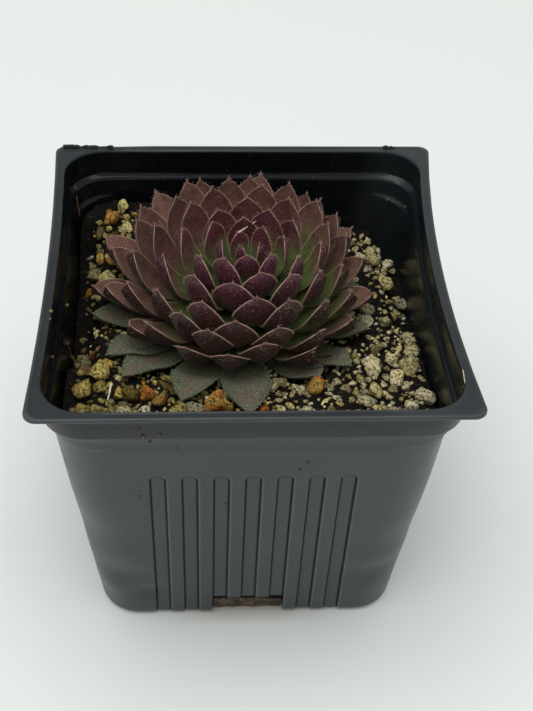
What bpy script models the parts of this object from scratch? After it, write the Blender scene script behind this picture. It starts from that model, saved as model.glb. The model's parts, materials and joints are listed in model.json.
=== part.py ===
"""Potted houseleek: a purple Sempervivum rosette in a square nursery pot of gritty soil.

The pot is one vacuum-formed sheet with a rim, a collar, fluted sides and a drain slot in the
foot of each side. Its soil ends 13 to 25 mm below the rim, and pumice grit lies half sunk in
it. The rosette grows on a short stem, which stands in a hole in the soil, and the older
grey-green leaves spread from a ring round that stem. Metres, +Z up, the origin in the middle
of the foot.
"""
import math
import random

import bmesh
import bpy
from mathutils import Matrix, Vector
from mathutils.bvhtree import BVHTree

MM = 0.001
GAP = 0.3 * MM

# Pot: a 4 inch square pot, 3.5 inches tall
RIM_HALF = 51.0 * MM
POT_HEIGHT = 90.0 * MM
FOOT_HALF = 39.5 * MM
TAPER = 0.106
LIP = 1.2 * MM
SHEET = 1.2 * MM
FLUTED_SHEET = 1.6 * MM
FLOOR = 1.5 * MM
FOOT_FILLET = 2.4 * MM
COLLAR_HALF = 49.4 * MM
COLLAR_FOOT = 81.6 * MM
STEP_FOOT = 80.4 * MM
RIM_CORNER = 3.0 * MM
COLLAR_CORNER = 11.5 * MM
CORNER_STEP = 75.5 * MM
WALL_CORNER = 14.0 * MM
FOOT_CORNER = 11.0 * MM
CORNER_SEGMENTS = 3
SIDE_POINTS = (-0.5, 0.0, 0.5)

# Bow of the right and left walls, which the soil doesn't hold out above mid height
BOW_FROM = 40.0 * MM
BOWS = {"right": 3.4 * MM, "left": 1.5 * MM}

# Flutes pressed into each side
FLUTES = 7
FLUTE_PITCH = 7.5 * MM
FLUTE_WIDTH = 3.8 * MM
FLUTE_DEPTH = 0.85 * MM
FLUTE_TOP = 65.5 * MM

# Drain slot in the foot of each side, and the notch that it goes on into in the floor's edge
SLOT_WIDTH = 19.0 * MM
SLOT_HEIGHT = 8.6 * MM
SLOT_REACH = 2.3 * MM
NOTCH_WIDTH = 19.0 * MM
NOTCH_REACH = 10.0 * MM
NOTCH_DEPTH = 9.0 * MM

# Soil: the height of its surface at the four corners in mm, and the hollow under the plant
SOIL_CORNERS = {(-1, -1): 71.5, (1, -1): 72.5, (-1, 1): 77.0, (1, 1): 64.5}
SOIL_SPAN = 44.0 * MM
SOIL_LEVEL = 72.0 * MM
SOIL_CELLS = 15
SOIL_CLEAR = 0.7 * MM
SOIL_RUFFLE = 0.9 * MM
SOIL_PROBES = (-4.2, -2.1, 0.0, 2.1, 4.2)
BOWL_REACH = 38.0 * MM
BOWL_DEPTH = 8.0 * MM
GRIT_STONES = 320
GRIT_SMALL = 1.4 * MM
GRIT_LARGE = 3.3 * MM
GRIT_SUNK = 0.1
STONE_FREE = 20.0 * MM
STONE_SPAN = 42.5 * MM
STONE_CORNER = 74.0 * MM
# Soil that has sunk through each notch: its face, how far in it goes, its foot and its top
PLUG_FACE = 38.0 * MM
PLUG_REACH = 5.8 * MM
PLUG_FOOT = 0.4 * MM
PLUG_TOP = 4.4 * MM
# Stones that stand out in the photograph, placed by eye: place in plan and radius, in mm
KNOWN_STONES = (
    (30, -13, 3.0), (31, -5, 2.4), (36, -15, 2.0), (16, -24, 2.3), (-8, -31, 3.4), (3, -31, 1.5),
    (-25, -27, 2.2), (-36, -20, 2.9), (30, -26, 2.3), (38, 23, 2.6), (-36, 36, 2.4),
    (-36, 14, 2.6),
)

# Rosette: its stem leans from the soil towards the bud in the middle of the leaves
STEM_AT = Vector((-3.6 * MM, 9.5 * MM, 0.0))
STEM_RADIUS = 4.4 * MM
STEM_FOOT = 55.0 * MM
BUD_AT = Vector((-0.3 * MM, 6.7 * MM, 0.0))
ROSETTE_REACH = 38.0 * MM
ROOT_LOWEST = 72.2 * MM
ROOT_HIGHEST = 83.0 * MM
ROOT_SHARE = 0.12
ROOT_OUT = 0.4 * MM
CORE_SEGMENTS = 16
CORE_PROFILE = ((4.4, 55.0), (4.4, 70.5), (6.5, 71.7), (8.5, 75.5), (8.0, 80.0), (5.0, 84.5))
CORE_TOP = 88.0 * MM
CORE_LEAN = (71.0, 84.0)

# Leaves stand in one spiral, counted from the bud outwards, and their tips lie on a flat dome
# that rises towards the back and is wider than deep. A seeded draw moves each a little.
LEAVES = 74
FIRST_ANGLE = 212.0
SPIRAL_STEP = 137.68
INNER_REACH = 1.5 * MM
REACH_POWER = 0.9
REACH_SWELL = 0.6
DEPTH_NARROWING = 0.18
DOME_TOP = 93.6 * MM
DOME_DROP = 16.5 * MM
DOME_POWER = 4
DOME_TILT = Vector((-0.02, 0.13, 0.0))
LEAF_SEED = 40
ANGLE_DRIFT = 5.0
REACH_DRIFT = 0.03
HEIGHT_DRIFT = 0.9 * MM

# One leaf: its greatest width and thickness, and how it is shaped along its length.
# Young leaves in the middle are narrow, thin and upright, and the outer ones lie open.
LEAF_WIDTH = 11.5 * MM
YOUNG_WIDTH = 0.2
FULL_WIDTH_AT = 0.36
OUTER_NARROWING = 0.12
LEAF_THICKNESS = 2.6 * MM
YOUNG_THICKNESS = 0.45
INNER_TIP_RISE = 98.0
OUTER_TIP_RISE = 25.0
WIDEST_AT = 0.66
WAIST = 0.5
DISH = 0.12
INNER_CURL = 0.78
OUTER_CURL = 0.42
YOUNG_LEAVES = 0.3
FULL_STATIONS = (0.0, 0.34, 0.6, 0.8, 0.93)
YOUNG_STATIONS = (0.0, 0.5, 0.85)

# Older leaves under the rosette: azimuth in degrees, reach and width in mm
OLD_LEAVES = (
    (-108.5, 42.5, 11.5), (-86.0, 45.0, 12.0), (-131.0, 43.0, 10.0), (-142.0, 41.0, 9.5),
    (-56.5, 38.0, 11.0), (-43.5, 40.0, 10.5), (-20.0, 37.0, 10.0), (8.0, 36.0, 10.0),
    (34.0, 36.0, 10.0), (63.0, 33.0, 10.0), (96.0, 32.0, 10.0), (-165.0, 38.0, 10.0),
)
OLD_RING_RADIUS = 9.0 * MM
OLD_RING_TOP = 68.4 * MM
OLD_RING_FOOT = 66.1 * MM
OLD_ROOT_RADIUS = 6.5 * MM
OLD_ROOT_SUNK = 0.3 * MM
OLD_TIP_LIFT = 1.9 * MM
OLD_THICKNESS = 2.0 * MM
OLD_TIP_RISE = math.radians(2.0)
OLD_CURL = 0.4
OLD_STATIONS = (0.0, 0.25, 0.45, 0.66, 0.86)
OLD_TRIALS = 16
OLD_DROPS = 6
LEAF_CLEAR = 0.6 * MM


def clear_scene():
    for item in list(bpy.data.objects):
        bpy.data.objects.remove(item, do_unlink=True)


def make_material(name, colour, roughness):
    """A plain finish: colour in linear red, green and blue."""
    material = bpy.data.materials.new(name)
    material.use_nodes = True
    shader = material.node_tree.nodes["Principled BSDF"]
    shader.inputs["Base Color"].default_value = (*colour, 1.0)
    shader.inputs["Roughness"].default_value = roughness
    shader.inputs["Metallic"].default_value = 0.0
    return material


def add_object(name, bm, material, sharp_degrees=40.0):
    """Turn a bmesh into a named object, shaded smooth up to a sharp angle."""
    bmesh.ops.recalc_face_normals(bm, faces=bm.faces)
    mesh = bpy.data.meshes.new(name)
    bm.to_mesh(mesh)
    bm.free()
    mesh.shade_smooth()
    mesh.set_sharp_from_angle(angle=math.radians(sharp_degrees))
    item = bpy.data.objects.new(name, mesh)
    bpy.context.scene.collection.objects.link(item)
    if material is not None:
        mesh.materials.append(material)
    return item


def skin(bm, rings, tip=None):
    """Sweep a cap through rings of points, and close it with a cap or run it to a tip."""
    count = len(rings[0])
    verts = bmesh.ops.create_circle(bm, segments=count, radius=1.0)["verts"]
    edges = [edge for edge in bm.edges if edge.verts[0] in verts and edge.verts[1] in verts]
    bmesh.ops.contextual_create(bm, geom=edges)
    for vert, point in zip(verts, rings[0]):
        vert.co = point
    for ring in rings[1:]:
        made = bmesh.ops.extrude_edge_only(bm, edges=edges)["geom"]
        edges = [item for item in made if isinstance(item, bmesh.types.BMEdge)]
        fresh = {item for item in made if isinstance(item, bmesh.types.BMVert)}
        verts = [next(edge.other_vert(vert) for edge in vert.link_edges
                      if edge.other_vert(vert) in fresh) for vert in verts]
        for vert, point in zip(verts, ring):
            vert.co = point
    if tip is None:
        bmesh.ops.contextual_create(bm, geom=edges)
    else:
        made = bmesh.ops.extrude_edge_only(bm, edges=edges)["geom"]
        fresh = [item for item in made if isinstance(item, bmesh.types.BMVert)]
        bmesh.ops.pointmerge(bm, verts=fresh, merge_co=tip)


def apply_boolean(item, operation, other=None, collection=None, solver="EXACT"):
    """Cut or join an object, and keep the result as its mesh."""
    modifier = item.modifiers.new("join", "BOOLEAN")
    modifier.operation = operation
    modifier.solver = solver
    if collection is None:
        modifier.object = other
    else:
        modifier.operand_type = "COLLECTION"
        modifier.collection = collection
    bpy.context.view_layer.update()
    shape = item.evaluated_get(bpy.context.evaluated_depsgraph_get())
    mesh = bpy.data.meshes.new_from_object(shape)
    item.modifiers.clear()
    item.data = mesh


def gather(items, name):
    """Put the pieces that one Boolean takes together into a collection of their own."""
    group = bpy.data.collections.new(name)
    bpy.context.scene.collection.children.link(group)
    for item in items:
        bpy.context.scene.collection.objects.unlink(item)
        group.objects.link(item)
    return group


def discard(group):
    for item in list(group.objects):
        bpy.data.objects.remove(item, do_unlink=True)
    bpy.data.collections.remove(group)


def keep_largest_body(item):
    """Fill sealed hollows and drop loose scraps: only the outer shell of the body stays."""
    bm = bmesh.new()
    bm.from_mesh(item.data)
    left = set(bm.faces)
    shells = []
    while left:
        shell = {left.pop()}
        edge_of_shell = list(shell)
        while edge_of_shell:
            face = edge_of_shell.pop()
            for edge in face.edges:
                for other in edge.link_faces:
                    if other in left:
                        left.discard(other)
                        shell.add(other)
                        edge_of_shell.append(other)
        shells.append(shell)
    shells.sort(key=len)
    for shell in shells[:-1]:
        bmesh.ops.delete(bm, geom=list(shell), context="FACES")
    bm.to_mesh(item.data)
    bm.free()


def rounded_square(half, corner, height):
    """Points around a square with round corners, which bows with the pot's walls."""
    points = []
    flat = half - corner
    for turn in range(4):
        side = Matrix.Rotation(turn * math.pi / 2, 3, "Z")
        for part in SIDE_POINTS:
            points.append(side @ Vector((half, part * flat, height)))
        for step in range(CORNER_SEGMENTS + 1):
            angle = step * math.pi / 2 / CORNER_SEGMENTS
            x = flat + corner * math.cos(angle)
            y = flat + corner * math.sin(angle)
            points.append(side @ Vector((x, y, height)))
    return [bowed(point) for point in points]


def bowed(point):
    """Move a point of the pot's wall inwards as the right and left walls bow."""
    rise = max(0.0, (point.z - BOW_FROM) / (POT_HEIGHT - BOW_FROM)) ** 1.5
    amount = BOWS["right"] if point.x > 0 else BOWS["left"]
    along = max(0.0, 1.0 - (point.y / COLLAR_HALF) ** 2)
    sideways = min(1.0, abs(point.x) / (0.7 * COLLAR_HALF)) ** 4
    shift = amount * rise * along * sideways
    return Vector((point.x - math.copysign(shift, point.x), point.y, point.z))


def outer_half(height):
    """Half the pot's width outside, from the foot fillet up the tapering wall."""
    half = FOOT_HALF + height * TAPER
    if height < FOOT_FILLET:
        rise = FOOT_FILLET - height
        half += math.sqrt(max(0.0, FOOT_FILLET ** 2 - rise ** 2)) - FOOT_FILLET
    return half


def inner_half(height):
    """Half the pot's width inside, where the sheet is thicker behind the flutes."""
    thick = SHEET if height > FLUTE_TOP else FLUTED_SHEET
    return outer_half(height) - thick


def pot_rings():
    """The sheet's outside from the foot up, over the rim, and its inside down to the floor."""
    low = 0.3 * FOOT_FILLET
    outside = [(0.0, outer_half(0.0), FOOT_CORNER - FOOT_FILLET),
               (low, outer_half(low), FOOT_CORNER - 0.5 * MM)]
    for height in (FOOT_FILLET, 40.0 * MM, 60.0 * MM, CORNER_STEP):
        corner = FOOT_CORNER + (WALL_CORNER - FOOT_CORNER) * height / CORNER_STEP
        outside.append((height, outer_half(height), corner))
    outside += [
        (CORNER_STEP + 0.9 * MM, outer_half(CORNER_STEP), COLLAR_CORNER),
        (STEP_FOOT, outer_half(STEP_FOOT), COLLAR_CORNER),
        (COLLAR_FOOT, COLLAR_HALF - 0.1 * MM, COLLAR_CORNER),
        (POT_HEIGHT - LIP, COLLAR_HALF, COLLAR_CORNER),
        (POT_HEIGHT - LIP, RIM_HALF, RIM_CORNER),
        (POT_HEIGHT, RIM_HALF, RIM_CORNER),
    ]
    inside = [
        (POT_HEIGHT, COLLAR_HALF - SHEET + 0.2 * MM, COLLAR_CORNER - SHEET),
        (COLLAR_FOOT + SHEET, COLLAR_HALF - SHEET, COLLAR_CORNER - SHEET),
        (COLLAR_FOOT, inner_half(STEP_FOOT), COLLAR_CORNER - SHEET),
        (CORNER_STEP + 1.9 * MM, inner_half(CORNER_STEP), COLLAR_CORNER - SHEET),
        (CORNER_STEP + SHEET, inner_half(CORNER_STEP), WALL_CORNER - SHEET),
    ]
    for height in (60.0 * MM, 40.0 * MM, FOOT_FILLET + FLOOR):
        corner = FOOT_CORNER + (WALL_CORNER - FOOT_CORNER) * height / CORNER_STEP
        inside.append((height, inner_half(height), corner - SHEET))
    inside.append((FLOOR, inner_half(FOOT_FILLET) - FOOT_FILLET, FOOT_CORNER - FOOT_FILLET))
    return [rounded_square(half, corner, height) for height, half, corner in outside + inside]


def flute_cutter(across, turn):
    """A bar that follows the wall's slope and bow, and presses one flute into a side."""
    side = Matrix.Rotation(turn * math.pi / 2, 3, "Z")
    top = FLUTE_TOP
    stations = [(-1.0 * MM, 1.0), (FOOT_FILLET, 1.0), (40.0 * MM, 1.0),
                (top - 1.9 * MM, 1.0), (top - 0.7 * MM, 0.8), (top, 0.3)]
    rings = []
    for height, share in stations:
        wall = outer_half(max(FOOT_FILLET, height)) - FLUTE_DEPTH
        wide = FLUTE_WIDTH / 2 * share
        corners = ((wall, across - wide), (wall + 4 * MM, across - wide),
                   (wall + 4 * MM, across + wide), (wall, across + wide))
        rings.append([bowed(side @ Vector((x, y, height))) for x, y in corners])
    bm = bmesh.new()
    skin(bm, rings)
    return add_object("flute_cutter", bm, None)


def slot_cutter(turn):
    """The block that opens the drain slot through the wall."""
    bm = bmesh.new()
    bmesh.ops.create_cube(bm, size=1.0)
    reach = SLOT_REACH + 3 * MM
    bmesh.ops.scale(bm, vec=(reach, SLOT_WIDTH, SLOT_HEIGHT + 2 * MM), verts=bm.verts)
    place = Vector((outer_half(SLOT_HEIGHT) - SLOT_REACH + reach / 2, 0.0,
                    (SLOT_HEIGHT - 2 * MM) / 2))
    bmesh.ops.translate(bm, vec=place, verts=bm.verts)
    top = [edge for edge in bm.edges
           if abs(edge.verts[0].co.y - edge.verts[1].co.y) < MM
           and min(vert.co.z for vert in edge.verts) > SLOT_HEIGHT - MM]
    bmesh.ops.bevel(bm, geom=top, offset=1.2 * MM, affect="EDGES", segments=2, profile=0.5,
                    material=-1)
    bmesh.ops.rotate(bm, verts=bm.verts, matrix=Matrix.Rotation(turn * math.pi / 2, 3, "Z"))
    return add_object("slot_cutter", bm, None)


def notch_cutter(turn):
    """The block that cuts the drain slot's notch in the edge of the floor."""
    bm = bmesh.new()
    bmesh.ops.create_cube(bm, size=1.0)
    bmesh.ops.scale(bm, vec=(NOTCH_REACH, NOTCH_WIDTH, NOTCH_DEPTH), verts=bm.verts)
    edge = outer_half(SLOT_HEIGHT) + MM
    bmesh.ops.translate(bm, vec=(edge - NOTCH_REACH / 2, 0.0, 0.0), verts=bm.verts)
    bmesh.ops.rotate(bm, verts=bm.verts, matrix=Matrix.Rotation(turn * math.pi / 2, 3, "Z"))
    return add_object("notch_cutter", bm, None)


def make_pot():
    bm = bmesh.new()
    skin(bm, pot_rings())
    material = make_material("charcoal_polypropylene", (0.022, 0.027, 0.029), 0.42)
    pot = add_object("pot", bm, material)
    cutters = []
    for turn in range(4):
        for number in range(FLUTES):
            across = (number - (FLUTES - 1) / 2) * FLUTE_PITCH
            cutters.append(flute_cutter(across, turn))
        cutters.append(slot_cutter(turn))
        cutters.append(notch_cutter(turn))
    group = gather(cutters, "pot_cutters")
    apply_boolean(pot, "DIFFERENCE", collection=group)
    discard(group)
    return pot


def leaf_rings(spine, width, thickness, stations):
    """Rings of a fleshy leaf: a dished upper face, a keeled round back and thin margins."""
    rings = []
    for share in stations:
        point, across, up = spine(share)
        half = width / 2 * leaf_outline(share)
        thick = thickness * leaf_fullness(share)
        dish = DISH * half
        rings.append([
            point - across * half + up * dish,
            point - across * half * 0.55 - up * thick * 0.72,
            point - up * thick,
            point + across * half * 0.55 - up * thick * 0.72,
            point + across * half + up * dish,
            point - up * dish * 0.5,
        ])
    return rings


def leaf_outline(share):
    """How wide the leaf is along its length: a waist, full at two thirds, then a round end."""
    if share < WIDEST_AT:
        return WAIST + (1.0 - WAIST) * math.sin(share / WIDEST_AT * math.pi / 2) ** 1.6
    return max(0.0, 1.0 - ((share - WIDEST_AT) / (1.0 - WIDEST_AT)) ** 2) ** 0.68


def leaf_fullness(share):
    """How thick the leaf is along its length, thinning to the tip."""
    return 0.55 + 0.45 * math.sin(math.pi * min(1.0, 0.3 + share * 0.65))


def leaf_spine(root, tip, outward, tip_rise, curl):
    """The leaf's middle line: it leaves the stem low and curls up to the tip's own slope."""
    chord = tip - root
    slope = outward * math.cos(tip_rise) + Vector((0, 0, math.sin(tip_rise)))
    middle = tip - slope * chord.length * curl
    across = outward.cross(Vector((0, 0, 1)))

    def at(share):
        point = root.lerp(middle, share).lerp(middle.lerp(tip, share), share)
        forward = (middle - root).lerp(tip - middle, share).normalized()
        return point, across, across.cross(forward)
    return at


def leaf_place(number):
    """Where the spiral and the dome put a leaf's tip: direction, reach and height."""
    draw = random.Random(LEAF_SEED + number)
    along = (number + 0.3) / LEAVES
    share = along ** REACH_POWER + REACH_SWELL * along * (1.0 - along)
    reach = INNER_REACH + (ROSETTE_REACH - INNER_REACH) * share
    reach *= 1.0 + draw.uniform(-1, 1) * REACH_DRIFT
    angle = math.radians(FIRST_ANGLE + number * SPIRAL_STEP + draw.uniform(-1, 1) * ANGLE_DRIFT)
    direction = Vector((math.cos(angle), math.sin(angle), 0.0))
    reach *= 1.0 - DEPTH_NARROWING * share * direction.y ** 2
    height = DOME_TOP - DOME_DROP * (reach / ROSETTE_REACH) ** DOME_POWER
    height += DOME_TILT.dot(direction) * reach + draw.uniform(-1, 1) * HEIGHT_DRIFT
    return direction, reach, height


def leaf_values(number):
    """One rosette leaf: its middle line, its tip, its width and its thickness."""
    direction, reach, height = leaf_place(number)
    share = reach / ROSETTE_REACH
    inner = max(0.0, 1.0 - share)
    axis = BUD_AT.lerp(STEM_AT, min(1.0, share) ** 2)
    tip = axis + direction * reach
    tip.z = height
    root = axis + direction * (ROOT_SHARE * reach + ROOT_OUT)
    root.z = ROOT_LOWEST + (ROOT_HIGHEST - ROOT_LOWEST) * inner ** 1.1
    tip_rise = math.radians(INNER_TIP_RISE + (OUTER_TIP_RISE - INNER_TIP_RISE) * share ** 5)
    curl = INNER_CURL + (OUTER_CURL - INNER_CURL) * share ** 3.2
    grown = min(1.0, YOUNG_WIDTH + (1.0 - YOUNG_WIDTH) * (share / FULL_WIDTH_AT) ** 0.75)
    width = LEAF_WIDTH * grown * (1.0 - OUTER_NARROWING * share)
    thickness = LEAF_THICKNESS * min(1.0, YOUNG_THICKNESS + 0.7 * share)
    return leaf_spine(root, tip, direction, tip_rise, curl), tip, width, thickness


def rosette_core():
    """The stem, and the dense middle that the leaves grow from."""
    turns = [step * 2 * math.pi / CORE_SEGMENTS for step in range(CORE_SEGMENTS)]
    rings = []
    for radius, height in CORE_PROFILE:
        share = (height - CORE_LEAN[0]) / (CORE_LEAN[1] - CORE_LEAN[0])
        middle = STEM_AT.lerp(BUD_AT, min(1.0, max(0.0, share)))
        middle.z = height * MM
        rings.append([middle + Vector((math.cos(angle), math.sin(angle), 0.0)) * radius * MM
                      for angle in turns])
    bm = bmesh.new()
    skin(bm, rings, tip=BUD_AT + Vector((0, 0, CORE_TOP)))
    return bm


def make_rosette():
    """The stem, the core and every leaf, joined as one body."""
    material = make_material("purple_leaf", (0.085, 0.020, 0.028), 0.5)
    rosette = add_object("rosette", rosette_core(), material)
    leaves = []
    for number in range(LEAVES):
        spine, tip, width, thickness = leaf_values(number)
        stations = YOUNG_STATIONS if number < LEAVES * YOUNG_LEAVES else FULL_STATIONS
        bm = bmesh.new()
        skin(bm, leaf_rings(spine, width, thickness, stations), tip=tip)
        leaves.append(add_object(f"leaf_{number}", bm, None))
    return rosette, leaves


def fuse(item, pieces, name, solver):
    group = gather(pieces, name)
    apply_boolean(item, "UNION", collection=group, solver=solver)
    discard(group)
    keep_largest_body(item)


def surface_tree(items):
    """One search tree over the surfaces of several pieces."""
    bm = bmesh.new()
    for item in items:
        bm.from_mesh(item.data)
    tree = BVHTree.FromBMesh(bm)
    bm.free()
    return tree


def lowest_above(trees, x, y):
    """The height of the lowest surface over a point of the plan, or none."""
    start = Vector((x, y, STEM_FOOT + MM))
    found = [tree.ray_cast(start, Vector((0, 0, 1))) for tree in trees]
    heights = [hit[0].z for hit in found if hit[0] is not None]
    return min(heights) if heights else None


def make_old_leaves(rosette_tree):
    """The ring round the stem and the older leaves, bent clear under the rosette."""
    material = make_material("grey_green_leaf", (0.075, 0.095, 0.06), 0.75)
    bm = bmesh.new()
    inner = STEM_RADIUS + GAP + 0.1 * MM
    profile = [(inner, OLD_RING_FOOT), (OLD_RING_RADIUS, OLD_RING_FOOT),
               (OLD_RING_RADIUS, OLD_RING_TOP), (inner, OLD_RING_TOP)]
    corners = [bm.verts.new(STEM_AT + Vector((radius, 0, height))) for radius, height in profile]
    bm.faces.new(corners)
    ring_edges = list(bm.edges)
    for face in list(bm.faces):
        bmesh.ops.delete(bm, geom=[face], context="FACES_ONLY")
    bmesh.ops.spin(bm, geom=corners + ring_edges, cent=STEM_AT, axis=(0, 0, 1),
                   angle=2 * math.pi, steps=CORE_SEGMENTS, use_merge=True)
    ring = add_object("basal_leaves", bm, material)
    leaves = [old_leaf(azimuth, reach * MM, width * MM, rosette_tree)
              for azimuth, reach, width in OLD_LEAVES]
    return ring, leaves


def old_leaf(azimuth, reach, width, tree):
    """One older leaf, from the ring out to where its tip lies on the soil."""
    angle = math.radians(azimuth)
    direction = Vector((math.cos(angle), math.sin(angle), 0.0))
    root = STEM_AT + direction * OLD_ROOT_RADIUS
    root.z = OLD_RING_TOP - OLD_ROOT_SUNK
    tip = STEM_AT + direction * reach
    tip.z = soil_plane(tip.x, tip.y) + OLD_TIP_LIFT
    spine = leaf_spine(root, tip, direction, OLD_TIP_RISE, OLD_CURL)
    for step in range(OLD_DROPS):
        rings, end = bent_clear(spine, tip, width, tree, LEAF_CLEAR * (1 + step))
        bm = bmesh.new()
        skin(bm, rings, tip=end)
        if not tree.overlap(BVHTree.FromBMesh(bm)):
            break
        bm.free()
    return add_object("old_leaf", bm, None)


def bent_clear(spine, tip, width, tree, clear):
    """An old leaf's rings and tip, each lowered until it clears the leaves above it."""
    fine = [step / OLD_TRIALS for step in range(OLD_TRIALS)]
    drops = []
    for points in leaf_rings(spine, width * 1.1, OLD_THICKNESS, fine) + [[tip]]:
        drop = 0.0
        for point in points:
            above = lowest_above([tree], point.x, point.y)
            if above is not None:
                drop = max(drop, point.z + clear - above)
        drops.append(drop)
    rings = leaf_rings(spine, width, OLD_THICKNESS, OLD_STATIONS)
    for share, points in zip(OLD_STATIONS, rings):
        near = [drop for trial, drop in zip(fine + [1.0], drops) if abs(trial - share) < 0.21]
        for point in points:
            point.z -= max(near)
    return rings, tip - Vector((0, 0, max(drops[-4:])))


def soil_plane(x, y):
    """The even soil surface, blended between its heights at the corners."""
    across = min(1.0, max(0.0, (x / SOIL_SPAN + 1) / 2))
    along = min(1.0, max(0.0, (y / SOIL_SPAN + 1) / 2))
    front = SOIL_CORNERS[(-1, -1)] * (1 - across) + SOIL_CORNERS[(1, -1)] * across
    back = SOIL_CORNERS[(-1, 1)] * (1 - across) + SOIL_CORNERS[(1, 1)] * across
    return (front * (1 - along) + back * along) * MM


def soil_height(x, y, draw, trees):
    """The soil's surface: the even one with small lumps, pressed down under the leaves."""
    height = soil_plane(x, y) + draw.uniform(-1, 1) * SOIL_RUFFLE
    from_stem = (Vector((x, y, 0)) - STEM_AT).length
    if from_stem < BOWL_REACH:
        height -= BOWL_DEPTH * (1 - (from_stem / BOWL_REACH) ** 2)
    for dx in SOIL_PROBES:
        for dy in SOIL_PROBES:
            above = lowest_above(trees, x + dx * MM, y + dy * MM)
            if above is not None:
                height = min(height, above - LEAF_CLEAR)
    return height


def soil_plan(u, v, half):
    """A grid point from -1 to 1 placed in the rounded square of the pot's inside."""
    x = u * half
    y = v * half
    flat = half - WALL_CORNER
    over_x = abs(x) - flat
    over_y = abs(y) - flat
    if over_x > 0 and over_y > 0:
        share = max(over_x, over_y) / math.hypot(over_x, over_y)
        x = math.copysign(flat + over_x * share, x)
        y = math.copysign(flat + over_y * share, y)
    return x, y


def make_soil(trees):
    """The soil's body: a lumpy top and sides that follow the pot, 0.7 mm clear of it."""
    draw = random.Random(11)
    bm = bmesh.new()
    bmesh.ops.create_grid(bm, x_segments=SOIL_CELLS, y_segments=SOIL_CELLS, size=1.0)
    plan = {vert: (vert.co.x, vert.co.y) for vert in bm.verts}
    rim = [edge for edge in bm.edges if edge.is_boundary]
    rim_verts = {vert for edge in rim for vert in edge.verts}
    for vert, (u, v) in plan.items():
        half = inner_half(SOIL_LEVEL) - SOIL_CLEAR - (0.5 * MM if vert in rim_verts else 0.0)
        x, y = soil_plan(u, v, half)
        point = bowed(Vector((x, y, SOIL_LEVEL)))
        vert.co = (point.x, point.y, soil_height(point.x, point.y, draw, trees))
    edges = rim
    for height in (60.0 * MM, 40.0 * MM, FOOT_FILLET + FLOOR, FLOOR + GAP + 0.3 * MM):
        owners = {vert.index: vert for edge in edges for vert in edge.verts}
        made = bmesh.ops.extrude_edge_only(bm, edges=edges)["geom"]
        edges = [item for item in made if isinstance(item, bmesh.types.BMEdge)]
        fresh = {item for item in made if isinstance(item, bmesh.types.BMVert)}
        half = inner_half(max(FOOT_FILLET, height)) - SOIL_CLEAR
        if height < FOOT_FILLET:
            half -= FOOT_FILLET
        for owner in list(owners.values()):
            vert = next(edge.other_vert(owner) for edge in owner.link_edges
                        if edge.other_vert(owner) in fresh)
            plan[vert] = plan[owner]
            x, y = soil_plan(*plan[owner], half)
            vert.co = bowed(Vector((x, y, height)))
        bm.verts.index_update()
    bmesh.ops.contextual_create(bm, geom=edges)
    return add_object("soil", bm, make_material("gritty_soil", (0.035, 0.022, 0.014), 0.9))


def stone_place(draw, radius):
    """A random place on the soil, inside the pot's round corners and outside the stem."""
    while True:
        x = draw.uniform(-SOIL_SPAN, SOIL_SPAN)
        y = draw.uniform(-SOIL_SPAN, SOIL_SPAN)
        inside = max(abs(x), abs(y)) < STONE_SPAN - radius and abs(x) + abs(y) < STONE_CORNER
        if inside and (Vector((x, y, 0)) - STEM_AT).length > STONE_FREE:
            return x, y


def lies_under_leaf(x, y, radius, top, trees):
    """Whether a stone's top would touch a leaf over it."""
    for dx, dy in ((0, 0), (1, 0), (-1, 0), (0, 1), (0, -1)):
        above = lowest_above(trees, x + radius * dx, y + radius * dy)
        if above is not None and above < top + 0.8 * MM:
            return True
    return False


def grit_stones(trees, ground):
    """Pumice and perlite grit, half sunk in the soil where no leaf lies on it."""
    draw = random.Random(5)
    stones = []
    plans = [(x * MM, y * MM, radius * MM) for x, y, radius in KNOWN_STONES]
    for _ in range(GRIT_STONES):
        radius = GRIT_SMALL + (GRIT_LARGE - GRIT_SMALL) * draw.random() ** 2.5
        x, y = stone_place(draw, radius)
        if all(math.hypot(x - a, y - b) > 0.8 * (radius + r) for a, b, r in plans):
            plans.append((x, y, radius))
    for x, y, radius in plans:
        bed = ground.ray_cast(Vector((x, y, POT_HEIGHT)), Vector((0, 0, -1)))[0]
        if bed is None:
            continue
        centre = bed.z + GRIT_SUNK * radius
        turn = draw.uniform(0, math.pi)
        if lies_under_leaf(x, y, radius + 0.5 * MM, centre + radius, trees):
            continue
        bm = bmesh.new()
        bmesh.ops.create_icosphere(bm, subdivisions=1, radius=radius)
        for vert in bm.verts:
            vert.co *= draw.uniform(0.8, 1.05)
        bmesh.ops.scale(bm, vec=(1.0, 0.8, 0.75), verts=bm.verts)
        bmesh.ops.rotate(bm, verts=bm.verts, matrix=Matrix.Rotation(turn, 3, "Z"))
        bmesh.ops.translate(bm, vec=(x, y, centre), verts=bm.verts)
        stones.append(add_object("grit", bm, None))
    return stones


def slot_plug(turn):
    """The soil that fills one notch of the floor, which the drain slot shows."""
    bm = bmesh.new()
    bmesh.ops.create_cube(bm, size=1.0)
    size = (PLUG_REACH, NOTCH_WIDTH - 2 * SOIL_CLEAR, PLUG_TOP - PLUG_FOOT)
    bmesh.ops.scale(bm, vec=size, verts=bm.verts)
    place = (PLUG_FACE - PLUG_REACH / 2, 0.0, (PLUG_TOP + PLUG_FOOT) / 2)
    bmesh.ops.translate(bm, vec=place, verts=bm.verts)
    bmesh.ops.rotate(bm, verts=bm.verts, matrix=Matrix.Rotation(turn * math.pi / 2, 3, "Z"))
    return add_object("slot_plug", bm, None)


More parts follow.
